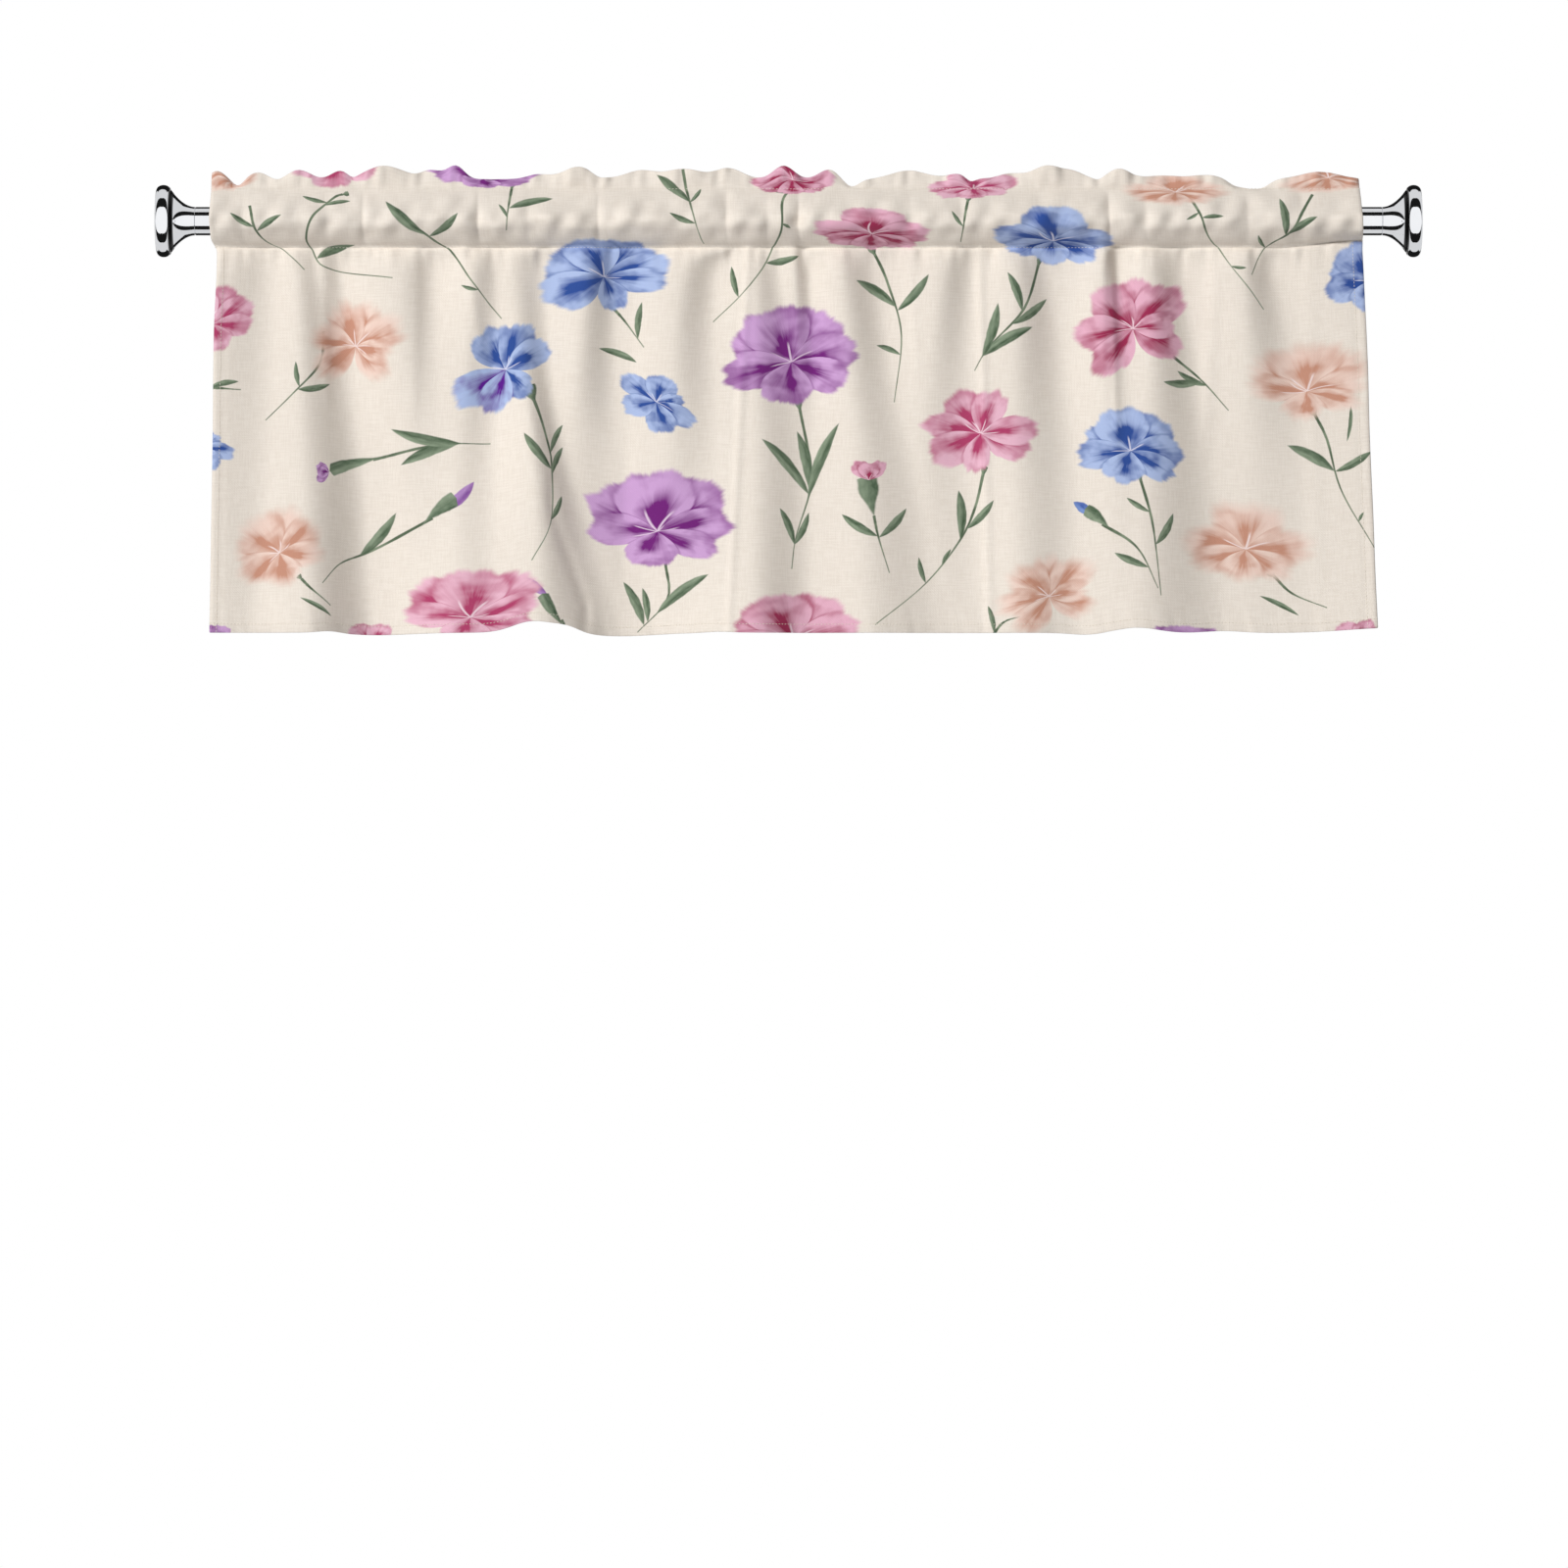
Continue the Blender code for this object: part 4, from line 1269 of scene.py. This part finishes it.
def leaf_group():
    tree, given, result = new_group("Leaf", [("Place", "NodeSocketVector")],
                                    [("Colour", "NodeSocketColor"), ("Cover", "NodeSocketFloat")])
    part = node(tree, "ShaderNodeSeparateXYZ", {0: given["Place"]}).outputs
    shift = calc(tree, "MULTIPLY", calc(tree, "FRACT", part["Z"]), SEED_SPREAD)
    share_along = calc(tree, "MINIMUM", calc(tree, "MAXIMUM", part["X"], 0.0), 1.0)
    lens = calc(tree, "MULTIPLY", calc(tree, "MULTIPLY", share_along, 4.0),
                calc(tree, "SUBTRACT", 1.0, share_along))
    lens = calc(tree, "POWER", lens, 0.85)
    goblet = calc(tree, "MULTIPLY", fade(tree, share_along, -0.08, 0.80),
                  fade(tree, share_along, 0.93, 1.0, 1.0, 0.0))
    is_cup = calc(tree, "COMPARE", calc(tree, "FLOOR", part["Z"]), 1.0, 0.5)
    lens = calc(tree, "ADD", calc(tree, "MULTIPLY", goblet, is_cup),
                calc(tree, "MULTIPLY", lens, calc(tree, "SUBTRACT", 1.0, is_cup)))
    wobble = noise(tree, vector(tree, calc(tree, "MULTIPLY", part["X"], 4.0), shift, 0.0), 1.0)
    lens = calc(tree, "MULTIPLY", lens, calc(tree, "MULTIPLY_ADD", wobble, 0.4, 0.85))
    side = calc(tree, "ABSOLUTE", part["Y"])
    cover = fade(tree, calc(tree, "SUBTRACT", lens, side), -0.04, 0.22)
    cover = calc(tree, "MULTIPLY", cover, calc(tree, "GREATER_THAN", part["Z"], 0.0))
    wash = noise(tree, vector(tree, calc(tree, "MULTIPLY", part["X"], 3.0), part["Y"], shift), 1.6)
    tone = calc(tree, "ADD", fade(tree, part["Y"], -0.25, 0.35, 0.25, 0.75),
                calc(tree, "MULTIPLY_ADD", wash, 1.2, -0.6), clamp=True)
    colour = blend_colour(tree, tone, pick(tree, part["Z"], BLADE_DARK),
                          pick(tree, part["Z"], BLADE_LIGHT))
    connect(tree, colour, result["Colour"])
    connect(tree, cover, result["Cover"])
    return tree


def stem_group():
    tree, given, result = new_group("Stem", [("Place", "NodeSocketVector")],
                                    [("Colour", "NodeSocketColor"), ("Cover", "NodeSocketFloat")])
    part = node(tree, "ShaderNodeSeparateXYZ", {0: given["Place"]}).outputs
    inside = calc(tree, "MULTIPLY", calc(tree, "GREATER_THAN", part["X"], 0.0),
                  calc(tree, "LESS_THAN", part["X"], 1.0))
    swell = noise(tree, vector(tree, calc(tree, "MULTIPLY", part["X"], 7.0), part["Z"], 4.0), 1.0)
    half = calc(tree, "MULTIPLY", fade(tree, part["X"], 0.0, 1.0, 1.0, 0.32),
                calc(tree, "MULTIPLY_ADD", swell, 0.9, 0.55))
    cover = fade(tree, calc(tree, "SUBTRACT", half, calc(tree, "ABSOLUTE", part["Y"])), -0.25, 0.35)
    cover = calc(tree, "MULTIPLY", cover, inside)
    cover = calc(tree, "MULTIPLY", cover, calc(tree, "GREATER_THAN", part["Z"], 0.0))
    tone = noise(tree, vector(tree, calc(tree, "MULTIPLY", part["X"], 5.0), part["Z"], 0.0), 1.0)
    colour = blend_colour(tree, fade(tree, tone, 0.35, 0.65), STEM_DARK, STEM_LIGHT)
    connect(tree, colour, result["Colour"])
    connect(tree, cover, result["Cover"])
    return tree


leaf_tree = leaf_group()
stem_tree = stem_group()
print(len(leaf_tree.nodes), "nodes draw a leaf and", len(stem_tree.nodes), "a stem")

# %% [markdown]
# ## Woven cloth
# The cloth is a plain weave of slubby yarn, so threads of uneven thickness run both ways.
# Noise that is stretched along one direction looks like threads, and two of them crossed
# look like a weave. The weave reads the flat place on the cloth, so it follows every
# fold. The same two noises tint the colour slightly and drive the bump.
#
# The motifs are laid over the cloth one layer at a time. A trace of the colour below is
# added to each motif's place. It is far too little to see, but the renderer then has to
# work the layers out one after another. All at once they would overrun the memory that
# it keeps for one material, and the cloth would turn black. Most faces carry no motif, so
# they get the same cloth without the motif nodes, which is quicker to render.

# %% The cloth materials
CREAM = paint(240, 231, 220)
CREAM_SHADE = paint(235, 225, 213)
WRONG_SIDE = paint(237, 231, 222)
THREAD = 0.0024
SLUB = 0.0012
SLUB_LENGTH = 16.0
GRAIN = (0.978, 1.008)
WEAVE_GRAIN = 0.008
WEAVE_HEIGHT = 0.25
BUMP_STRENGTH = 0.28
BUMP_DEPTH = 0.0006
CLOTH_ROUGHNESS = 0.88
CLOTH_SPECULAR = 0.25
CLOTH_SHEEN = 0.12
CLOTH_SHEEN_ROUGHNESS = 0.5
SHOW_THROUGH = 0.16
TRACE = 1e-6


def threads(tree, place):
    """Crossed threads, from 0 to 1, and broad slubs, from 0 to 1."""
    part = node(tree, "ShaderNodeSeparateXYZ", {0: place}).outputs
    layers = []
    for fine, coarse in ((part["X"], part["Y"]), (part["Y"], part["X"])):
        stretched = vector(tree, calc(tree, "MULTIPLY", fine, 1.0 / SLUB),
                           calc(tree, "MULTIPLY", coarse, 1.0 / (SLUB_LENGTH * SLUB)), 0.0)
        layers.append(noise(tree, stretched, 1.0, 3.0, 0.6))
    waves = []
    for axis in ("X", "Y"):
        wave = calc(tree, "SINE", calc(tree, "MULTIPLY", part[axis], 2.0 * math.pi / THREAD))
        waves.append(wave)
    weave = calc(tree, "MULTIPLY", waves[0], waves[1])
    slubs = calc(tree, "MULTIPLY", calc(tree, "ADD", layers[0], layers[1]), 0.5)
    return weave, slubs


def cloth_material(name, ground, print_strength, layers):
    material = bpy.data.materials.new(name)
    material.use_nodes = True
    tree = material.node_tree
    shader = tree.nodes["Principled BSDF"]
    place = node(tree, "ShaderNodeAttribute", attribute_name="flat_place").outputs["Vector"]
    weave, slubs = threads(tree, place)
    base = blend_colour(tree, fade(tree, slubs, 0.40, 0.60), CREAM_SHADE, ground)
    colour = base
    dyed = 0.0
    for group, attribute in layers:
        motif = node(tree, "ShaderNodeGroup", node_tree=group)
        local = node(tree, "ShaderNodeAttribute", attribute_name=attribute).outputs["Vector"]
        in_turn = node(tree, "ShaderNodeVectorMath", {0: colour, 1: (TRACE,) * 3, 2: local},
                       operation="MULTIPLY_ADD")
        connect(tree, in_turn.outputs[0], motif.inputs["Place"])
        cover = motif.outputs["Cover"]
        if group == petal_tree:
            under = calc(tree, "MULTIPLY", motif.outputs["Shade"], dyed)
            colour = blend_colour(tree, under, colour, motif.outputs["Shade Colour"])
            dyed = calc(tree, "MAXIMUM", cover, dyed)
        colour = blend_colour(tree, cover, colour, motif.outputs["Colour"])
    colour = blend_colour(tree, print_strength, base, colour)
    grain = calc(tree, "ADD", fade(tree, slubs, 0.35, 0.65, *GRAIN),
                 calc(tree, "MULTIPLY", weave, WEAVE_GRAIN))
    colour = blend_colour(tree, 1.0, colour, node(
        tree, "ShaderNodeCombineColor", {0: grain, 1: grain, 2: grain}).outputs[0], "MULTIPLY")
    connect(tree, colour, shader.inputs["Base Color"])
    height = calc(tree, "ADD", calc(tree, "MULTIPLY", weave, WEAVE_HEIGHT), slubs)
    bump = node(tree, "ShaderNodeBump", {"Height": height, "Strength": BUMP_STRENGTH,
                                         "Distance": BUMP_DEPTH})
    connect(tree, bump.outputs["Normal"], shader.inputs["Normal"])
    shader.inputs["Roughness"].default_value = CLOTH_ROUGHNESS
    shader.inputs["Specular IOR Level"].default_value = CLOTH_SPECULAR
    shader.inputs["Sheen Weight"].default_value = CLOTH_SHEEN
    shader.inputs["Sheen Roughness"].default_value = CLOTH_SHEEN_ROUGHNESS
    return material


sprig_layers = [(stem_tree, f"stem_{i}") for i in reversed(range(STEM_SLOTS))]
sprig_layers += [(leaf_tree, f"leaf_{i}") for i in reversed(range(LEAF_SLOTS))]
petal_layers = [(petal_tree, f"petal_{i}") for i in reversed(range(PETAL_SLOTS))]
for side, ground, strength in (("printed_side", CREAM, 1.0), ("wrong_side", WRONG_SIDE, SHOW_THROUGH)):
    for kind, layers in (("plain", []), ("sprigs", sprig_layers),
                         ("flowers", sprig_layers + petal_layers)):
        cloth_mesh.materials.append(cloth_material(f"{side}_{kind}", ground, strength, layers))
kinds = np.where(petals.used > 0, 2, np.where(leaves.used + stems.used > 0, 1, 0))
kinds[len(printed):len(printed) + len(wrong)] += 3
cloth_mesh.polygons.foreach_set("material_index", kinds.astype(np.int32))
print("materials:", [material.name for material in cloth_mesh.materials])

# %% [markdown]
# ## The sewing
# Five rows of machine stitching hold the cloth: two along the pocket, one up each side
# hem and one along the bottom hem. A stitch is a short length of thread that dips into
# the cloth at both ends. Thousands of the same small thing along a line is work for
# Geometry Nodes: points are spread along the line at an even pitch, and a small thread
# shape is placed on each, turned to follow it.

# %% Lines that the stitches follow
STITCH_LIFT = 0.00016
HEM_LINE_SHARE = 0.9
SIDE_LINE_IN = 3
seam_curves = bpy.data.curves.new("stitch_lines", "CURVE")
seam_curves.dimensions = "3D"


def add_line(places, outward):
    """A seam line on one face of the sheet."""
    lifted = places + outward * (0.5 * THICK + STITCH_LIFT)
    spline = seam_curves.splines.new("POLY")
    spline.points.add(len(lifted) - 1)
    spline.points.foreach_set("co", np.c_[lifted, np.ones(len(lifted))].ravel())


def row_of(name, which):
    found = [i for i, row_name in enumerate(row_names) if row_name == name]
    return found[which]


skirt_columns = slice(turned + 1, turned + 1 + STATIONS)
hem_line = min((i for i, name in enumerate(row_names) if name == "skirt"),
               key=lambda i: abs(cloth_v[i] - cloth_v[row_of("skirt", 0)] - HEM_LINE_SHARE * HEM_DEPTH))
for row in (row_of("skirt", -1), row_of("heading front", 0), hem_line):
    add_line(grid[row, skirt_columns], out[row, skirt_columns])
for row in (row_of("heading back", -1), row_of("seam allowance", 0)):
    add_line(grid[row, skirt_columns], out[row, skirt_columns])
add_line(grid[row_of("turned hem", 0) + 1, skirt_columns], out[row_of("turned hem", 0) + 1, skirt_columns])
side_rows = slice(row_of("skirt", 0), row_of("skirt", -1) + 1)
for column in (turned + SIDE_LINE_IN, turned + STATIONS - SIDE_LINE_IN):
    add_line(grid[side_rows, column], out[side_rows, column])
lines = bpy.data.objects.new("stitch_lines", seam_curves)
bpy.context.scene.collection.objects.link(lines)
print(len(seam_curves.splines), "stitch lines")

# %% A Geometry Nodes tree that sews
STITCH_PITCH = 0.0034
STITCH_LENGTH = 0.0026
STITCH_THICK = 0.00055
THREAD_FUZZ = 900.0
THREAD_DARK = paint(222, 212, 194)
THREAD_LIGHT = paint(244, 238, 226)
THREAD_ROUGHNESS = 0.6


def thread_material():
    material = bpy.data.materials.new("sewing_thread")
    material.use_nodes = True
    tree = material.node_tree
    shader = tree.nodes["Principled BSDF"]
    where = node(tree, "ShaderNodeTexCoord").outputs["Object"]
    tone = noise(tree, where, THREAD_FUZZ)
    connect(tree, blend_colour(tree, tone, THREAD_DARK, THREAD_LIGHT), shader.inputs["Base Color"])
    shader.inputs["Roughness"].default_value = THREAD_ROUGHNESS
    return material


def sewing_tree(material):
    tree = bpy.data.node_groups.new("Stitches along lines", "GeometryNodeTree")
    for name, kind in (("Geometry", "NodeSocketGeometry"), ("Pitch", "NodeSocketFloat"),
                       ("Length", "NodeSocketFloat"), ("Thickness", "NodeSocketFloat")):
        tree.interface.new_socket(name, in_out="INPUT", socket_type=kind)
    tree.interface.new_socket("Geometry", in_out="OUTPUT", socket_type="NodeSocketGeometry")
    given = tree.nodes.new("NodeGroupInput").outputs
    result = tree.nodes.new("NodeGroupOutput").inputs
    spread = node(tree, "GeometryNodeCurveToPoints", {"Curve": given["Geometry"],
                                                      "Length": given["Pitch"]}, mode="LENGTH")
    ball = node(tree, "GeometryNodeMeshIcoSphere", {"Radius": 0.5, "Subdivisions": 1})
    size = node(tree, "ShaderNodeCombineXYZ", {"X": given["Length"], "Y": given["Thickness"],
                                               "Z": given["Thickness"]})
    shape = node(tree, "GeometryNodeTransform", {"Geometry": ball.outputs["Mesh"],
                                                 "Scale": size.outputs[0]})
    smooth = node(tree, "GeometryNodeSetShadeSmooth", {"Geometry": shape.outputs[0]})
    turn = node(tree, "FunctionNodeAlignRotationToVector", {"Vector": spread.outputs["Tangent"]},
                axis="X")
    placed = node(tree, "GeometryNodeInstanceOnPoints", {
        "Points": spread.outputs["Points"], "Instance": smooth.outputs[0],
        "Rotation": turn.outputs[0]})
    real = node(tree, "GeometryNodeRealizeInstances", {"Geometry": placed.outputs[0]})
    painted = node(tree, "GeometryNodeSetMaterial", {"Geometry": real.outputs[0],
                                                     "Material": material})
    connect(tree, painted.outputs[0], result["Geometry"])
    return tree


def set_input(modifier, name, value):
    """Set a named input of a Geometry Nodes modifier by its socket's identifier."""
    for item in modifier.node_group.interface.items_tree:
        if item.item_type == "SOCKET" and item.in_out == "INPUT" and item.name == name:
            modifier[item.identifier] = value


def made_real(source, name):
    """The evaluated result of an object's modifiers as a plain mesh object."""
    evaluated = source.evaluated_get(bpy.context.evaluated_depsgraph_get())
    mesh = bpy.data.meshes.new_from_object(evaluated)
    mesh.name = name
    piece = bpy.data.objects.new(name, mesh)
    bpy.context.scene.collection.objects.link(piece)
    bpy.data.objects.remove(source, do_unlink=True)
    return piece


sewing = lines.modifiers.new("sewing", "NODES")
sewing.node_group = sewing_tree(thread_material())
set_input(sewing, "Pitch", STITCH_PITCH)
set_input(sewing, "Length", STITCH_LENGTH)
set_input(sewing, "Thickness", STITCH_THICK)
stitches = made_real(lines, "valance_stitching")
print(len(stitches.data.polygons), "faces of thread")

# %% [markdown]
# ## The rod and its finials
# The rod is a plated steel tube, and each finial is a turned and plated trumpet with a
# disc for its face. Turned metal is round to the eye at any distance, so both are spun
# again here from finer outlines than the solids have, in the same places. The trumpet
# flares a little sooner than the solid's, and the disc's face is a little flatter. Where
# the trumpet meets the back of the disc, a narrow band of painted shade is laid on the metal; no groove is
# cut there.

# %% Spin the metal
SIDES = 96
ROD_RADIUS = 0.5 * (rod_high.z - rod_low.z)
TIP = cad_high.x
TRUMPET_ROOT = 0.0303
TRUMPET_START = 0.0160
TRUMPET_END = 0.0390
TRUMPET_FLARE = 1.95
DISC_RADIUS = 0.0356
DISC_WIDTH = 0.0152
DISC_ROUNDING = 0.0050
FACE_CROWN = 0.0012
FACE_FLAT_RADIUS = 0.009
# Distances in from the finial's face over which the band of painted shade fades in and out.
RECESS_SHADE_BAND = (0.0137, 0.0145, 0.0180, 0.0192)
FACE_STEPS = 8
RIM_STEPS = 24
TRUMPET_STEPS = 18
ROD_BEVEL = 0.0004
ROD_END_STRETCH = 0.02
ROD_RINGS = 24
SHARP_ANGLE = math.radians(38.0)


def spun(name, profile):
    """A closed piece turned about X from (x, radius) points that start and end on the axis."""
    mesh = bmesh.new()
    rings = []
    for x, radius in profile[1:-1]:
        ring_points = []
        for side in range(SIDES):
            angle = 2.0 * math.pi * side / SIDES
            ring_points.append(mesh.verts.new((x, radius * math.cos(angle), radius * math.sin(angle))))
        rings.append(ring_points)
    for first, second in zip(rings, rings[1:]):
        for i in range(SIDES):
            j = (i + 1) % SIDES
            mesh.faces.new((first[i], first[j], second[j], second[i]))
    for ring_points, (x, _) in ((rings[0], profile[0]), (rings[-1], profile[-1])):
        pole = mesh.verts.new((x, 0.0, 0.0))
        for i in range(SIDES):
            mesh.faces.new((ring_points[i], ring_points[(i + 1) % SIDES], pole))
    bmesh.ops.recalc_face_normals(mesh, faces=mesh.faces)
    data = bpy.data.meshes.new(name)
    mesh.to_mesh(data)
    mesh.free()
    data.shade_smooth()
    data.set_sharp_from_angle(angle=SHARP_ANGLE)
    piece = bpy.data.objects.new(name, data)
    bpy.context.scene.collection.objects.link(piece)
    return piece


def finial_outline():
    """Distance in from the outer face, and radius, from the face's middle inwards."""
    edge = DISC_RADIUS - DISC_ROUNDING
    points = [(0.0, 0.0)]
    for t in np.linspace(0.0, 1.0, FACE_STEPS):
        points.append((FACE_CROWN * t ** 2, mix(FACE_FLAT_RADIUS, edge, t)))
    for turn in np.linspace(0.0, math.pi, RIM_STEPS + 1)[1:]:
        points.append((FACE_CROWN + 0.5 * (DISC_WIDTH - FACE_CROWN) * (1.0 - math.cos(turn)),
                       edge + DISC_ROUNDING * math.sin(turn)))
    for t in np.linspace(0.0, 1.0, TRUMPET_STEPS):
        points.append((mix(TRUMPET_START, TRUMPET_END, t),
                       mix(ROD_RADIUS, TRUMPET_ROOT, (1.0 - t) ** TRUMPET_FLARE)))
    points.append((TRUMPET_END, 0.0))
    return points


finials = {}
for name, side in (("finial_left", -1), ("finial_right", 1)):
    outline = [(side * (TIP - inwards), radius) for inwards, radius in finial_outline()]
    finials[name] = spun(name + "_turned", outline)
rod_outline = [(rod_low.x, 0.0), (rod_low.x, ROD_RADIUS - ROD_BEVEL), (rod_low.x + ROD_BEVEL, ROD_RADIUS)]
rod_outline += [(x, ROD_RADIUS) for x in np.linspace(rod_low.x + ROD_END_STRETCH,
                                                    rod_high.x - ROD_END_STRETCH, ROD_RINGS)]
rod_outline += [(rod_high.x - ROD_BEVEL, ROD_RADIUS), (rod_high.x, ROD_RADIUS - ROD_BEVEL),
                (rod_high.x, 0.0)]
rod_tube = spun("rod_tube", rod_outline)
print("rod and", len(finials), "finials,", len(rod_tube.data.polygons), "faces in the rod")

# %% [markdown]
# ## Chrome plate
# Chrome has hardly any colour of its own: it shows the room. Its base colour is a cool
# light grey, it is fully metallic, and its roughness is low with a faint unevenness from
# polishing and handling. The dark and light bands along the rod come from the room, which
# the next step sets up. The corner where each disc meets its trumpet gets painted shade:
# its colour is turned nearly black in a narrow band there, and it is made a little rougher.

# %% The chrome material
POLISH_SCALE = (6.0, 900.0, 900.0)
SMEAR_SCALE = 38.0
CHROME_DARK = paint(226, 228, 232)
CHROME_LIGHT = paint(238, 239, 241)
POLISH = (0.025, 0.045)
SMEAR = 0.05
# Near-black colour of the painted shade round the corner where disc and trumpet meet.
RECESS_PAINTED_SHADE = paint(12, 12, 13)
RECESS_ROUGHNESS = 0.25


def chrome_material(name, shade_band=None):
    material = bpy.data.materials.new(name)
    material.use_nodes = True
    tree = material.node_tree
    shader = tree.nodes["Principled BSDF"]
    where = node(tree, "ShaderNodeTexCoord").outputs["Object"]
    brushed = node(tree, "ShaderNodeMapping", {"Vector": where, "Scale": POLISH_SCALE})
    lines_along = noise(tree, brushed.outputs[0], 1.0, 2.0)
    smears = noise(tree, where, SMEAR_SCALE, 3.0)
    rough = calc(tree, "ADD", fade(tree, lines_along, 0.3, 0.7, *POLISH),
                 fade(tree, smears, 0.45, 0.75, 0.0, SMEAR))
    tint = blend_colour(tree, smears, CHROME_DARK, CHROME_LIGHT)
    # Painted shade: a near-black band round the corner where the disc meets the trumpet.
    if shade_band:
        side = node(tree, "ShaderNodeSeparateXYZ", {0: where}).outputs["X"]
        inwards = calc(tree, "SUBTRACT", TIP, calc(tree, "ABSOLUTE", side))
        painted_shade = calc(tree, "MULTIPLY", fade(tree, inwards, shade_band[0], shade_band[1]),
                    fade(tree, inwards, shade_band[2], shade_band[3], 1.0, 0.0))
        tint = blend_colour(tree, painted_shade, tint, RECESS_PAINTED_SHADE)
        rough = calc(tree, "MULTIPLY_ADD", painted_shade, RECESS_ROUGHNESS, rough)
    connect(tree, rough, shader.inputs["Roughness"])
    connect(tree, tint, shader.inputs["Base Color"])
    shader.inputs["Metallic"].default_value = 1.0
    return material


rod_tube.data.materials.append(chrome_material("polished_chrome"))
# The finials' chrome carries the band of painted shade.
finial_chrome = chrome_material("polished_chrome_finial", RECESS_SHADE_BAND)
for piece in finials.values():
    piece.data.materials.append(finial_chrome)
print("chrome on", [piece.name for piece in (rod_tube, *finials.values())])

# %% [markdown]
# ## The studio
# The light is soft and comes from the upper left, so the right-hand slope of each fold
# falls into a mild shade. A pale floor lies below. The world is plain white to the
# camera. To the chrome it is a studio of white and dark panels, which is how metal is lit
# so that its shape shows against white. The panels are long strips that run beside the rod,
# above and below the viewer, and they end at grey walls far to the left and right.

# %% Light, floor and world
def area_light(name, place, target, size, power):
    data = bpy.data.lights.new(name, "AREA")
    data.shape = "DISK"
    data.size = size
    data.energy = power
    lamp = bpy.data.objects.new(name, data)
    lamp.location = place
    towards = np.array(target) - np.array(place)
    yaw = math.atan2(towards[1], towards[0]) - 0.5 * math.pi
    pitch = math.atan2(towards[2], math.hypot(towards[0], towards[1])) + 0.5 * math.pi
    lamp.rotation_euler = (pitch, 0.0, yaw)
    lamp.visible_glossy = False
    bpy.context.scene.collection.objects.link(lamp)
    return lamp


AIM = (0.0, 0.0, -0.2)
KEY_PLACE = (-11.0, -14.4, 7.2)
KEY_SIZE = 4.8
KEY_POWER = 3350.0
BEHIND_PLACE = (1.6, 6.0, 2.6)
BEHIND_SIZE = 3.0
BEHIND_POWER = 240.0
area_light("key", KEY_PLACE, AIM, KEY_SIZE, KEY_POWER)
area_light("behind", BEHIND_PLACE, AIM, BEHIND_SIZE, BEHIND_POWER)

FLOOR_RADIUS = 2.5
FLOOR_LEVEL = -1.60
FLOOR_SIDES = 96
FLOOR_TONE = (0.86, 0.86, 0.86, 1.0)
FLOOR_ROUGHNESS = 0.9
floor_turns = np.linspace(0.0, 2.0 * math.pi, FLOOR_SIDES, endpoint=False)
floor_mesh = bpy.data.meshes.new("floor")
floor_mesh.from_pydata([(FLOOR_RADIUS * math.cos(turn), FLOOR_RADIUS * math.sin(turn), FLOOR_LEVEL)
                        for turn in floor_turns], [], [range(len(floor_turns))])
floor = bpy.data.objects.new("floor", floor_mesh)
bpy.context.scene.collection.objects.link(floor)
floor_material = bpy.data.materials.new("pale_floor")
floor_material.use_nodes = True
floor_shader = floor_material.node_tree.nodes["Principled BSDF"]
floor_shader.inputs["Base Color"].default_value = FLOOR_TONE
floor_shader.inputs["Roughness"].default_value = FLOOR_ROUGHNESS
floor_mesh.materials.append(floor_material)
floor.visible_glossy = False

PANELS = ((0.0, 1.08), (0.232, 0.010), (0.415, 0.80), (0.66, 0.010), (0.93, 0.8))
PANEL_SPREAD = 0.15
SIDE_WALL = 0.60
SIDE_WALL_FROM = 0.44
SIDE_WALL_TO = 0.52
AMBIENT = 0.19
world = bpy.data.worlds.new("studio")
bpy.context.scene.world = world
world.use_nodes = True
sky = world.node_tree
sky.nodes.clear()
direction = node(sky, "ShaderNodeTexCoord").outputs["Generated"]
ray = node(sky, "ShaderNodeSeparateXYZ", {0: direction}).outputs
sideways = calc(sky, "ABSOLUTE", ray["X"])
towards_front = calc(sky, "MULTIPLY_ADD", sideways, PANEL_SPREAD, calc(sky, "MULTIPLY", ray["Y"], -1.0))
turn_from_front = calc(sky, "DIVIDE", calc(sky, "ARCTAN2", calc(sky, "ABSOLUTE", ray["Z"]), towards_front),
                       math.pi)
turn_from_front = calc(sky, "MINIMUM", turn_from_front,
                       fade(sky, sideways, SIDE_WALL_FROM, SIDE_WALL_TO, 1.0, SIDE_WALL))
panels = node(sky, "ShaderNodeValToRGB", {"Fac": turn_from_front})
ramp = panels.color_ramp
ramp.interpolation = "CONSTANT"
ramp.elements.remove(ramp.elements[1])
ramp.elements[0].color = (PANELS[0][1],) * 3 + (1.0,)
for place, brightness in PANELS[1:]:
    ramp.elements.new(place).color = (brightness,) * 3 + (1.0,)
rays = node(sky, "ShaderNodeLightPath").outputs
seen = blend_colour(sky, rays["Is Glossy Ray"], (AMBIENT,) * 3 + (1.0,), panels.outputs["Color"])
seen = blend_colour(sky, rays["Is Camera Ray"], seen, (1.0, 1.0, 1.0, 1.0))
background = node(sky, "ShaderNodeBackground", {"Color": seen, "Strength": 1.0})
node(sky, "ShaderNodeOutputWorld", {"Surface": background.outputs[0]})
bpy.context.scene.view_settings.view_transform = "Standard"

# %% [markdown]
# ## Tie the pieces to the frame
# Every piece rides on the part's one body, and the solid that it stands for, if it has one, is hidden.

# %% Ride and replace
for piece, nodes, slot in ((cloth, ("valance",), "printed_cloth"),
                           (stitches, (), "printed_cloth"),
                           (rod_tube, ("rod",), "rod_metal"),
                           (finials["finial_left"], ("finial_left",), "rod_metal"),
                           (finials["finial_right"], ("finial_right",), "rod_metal")):
    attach(piece, "root")
    if nodes:
        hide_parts(*nodes)
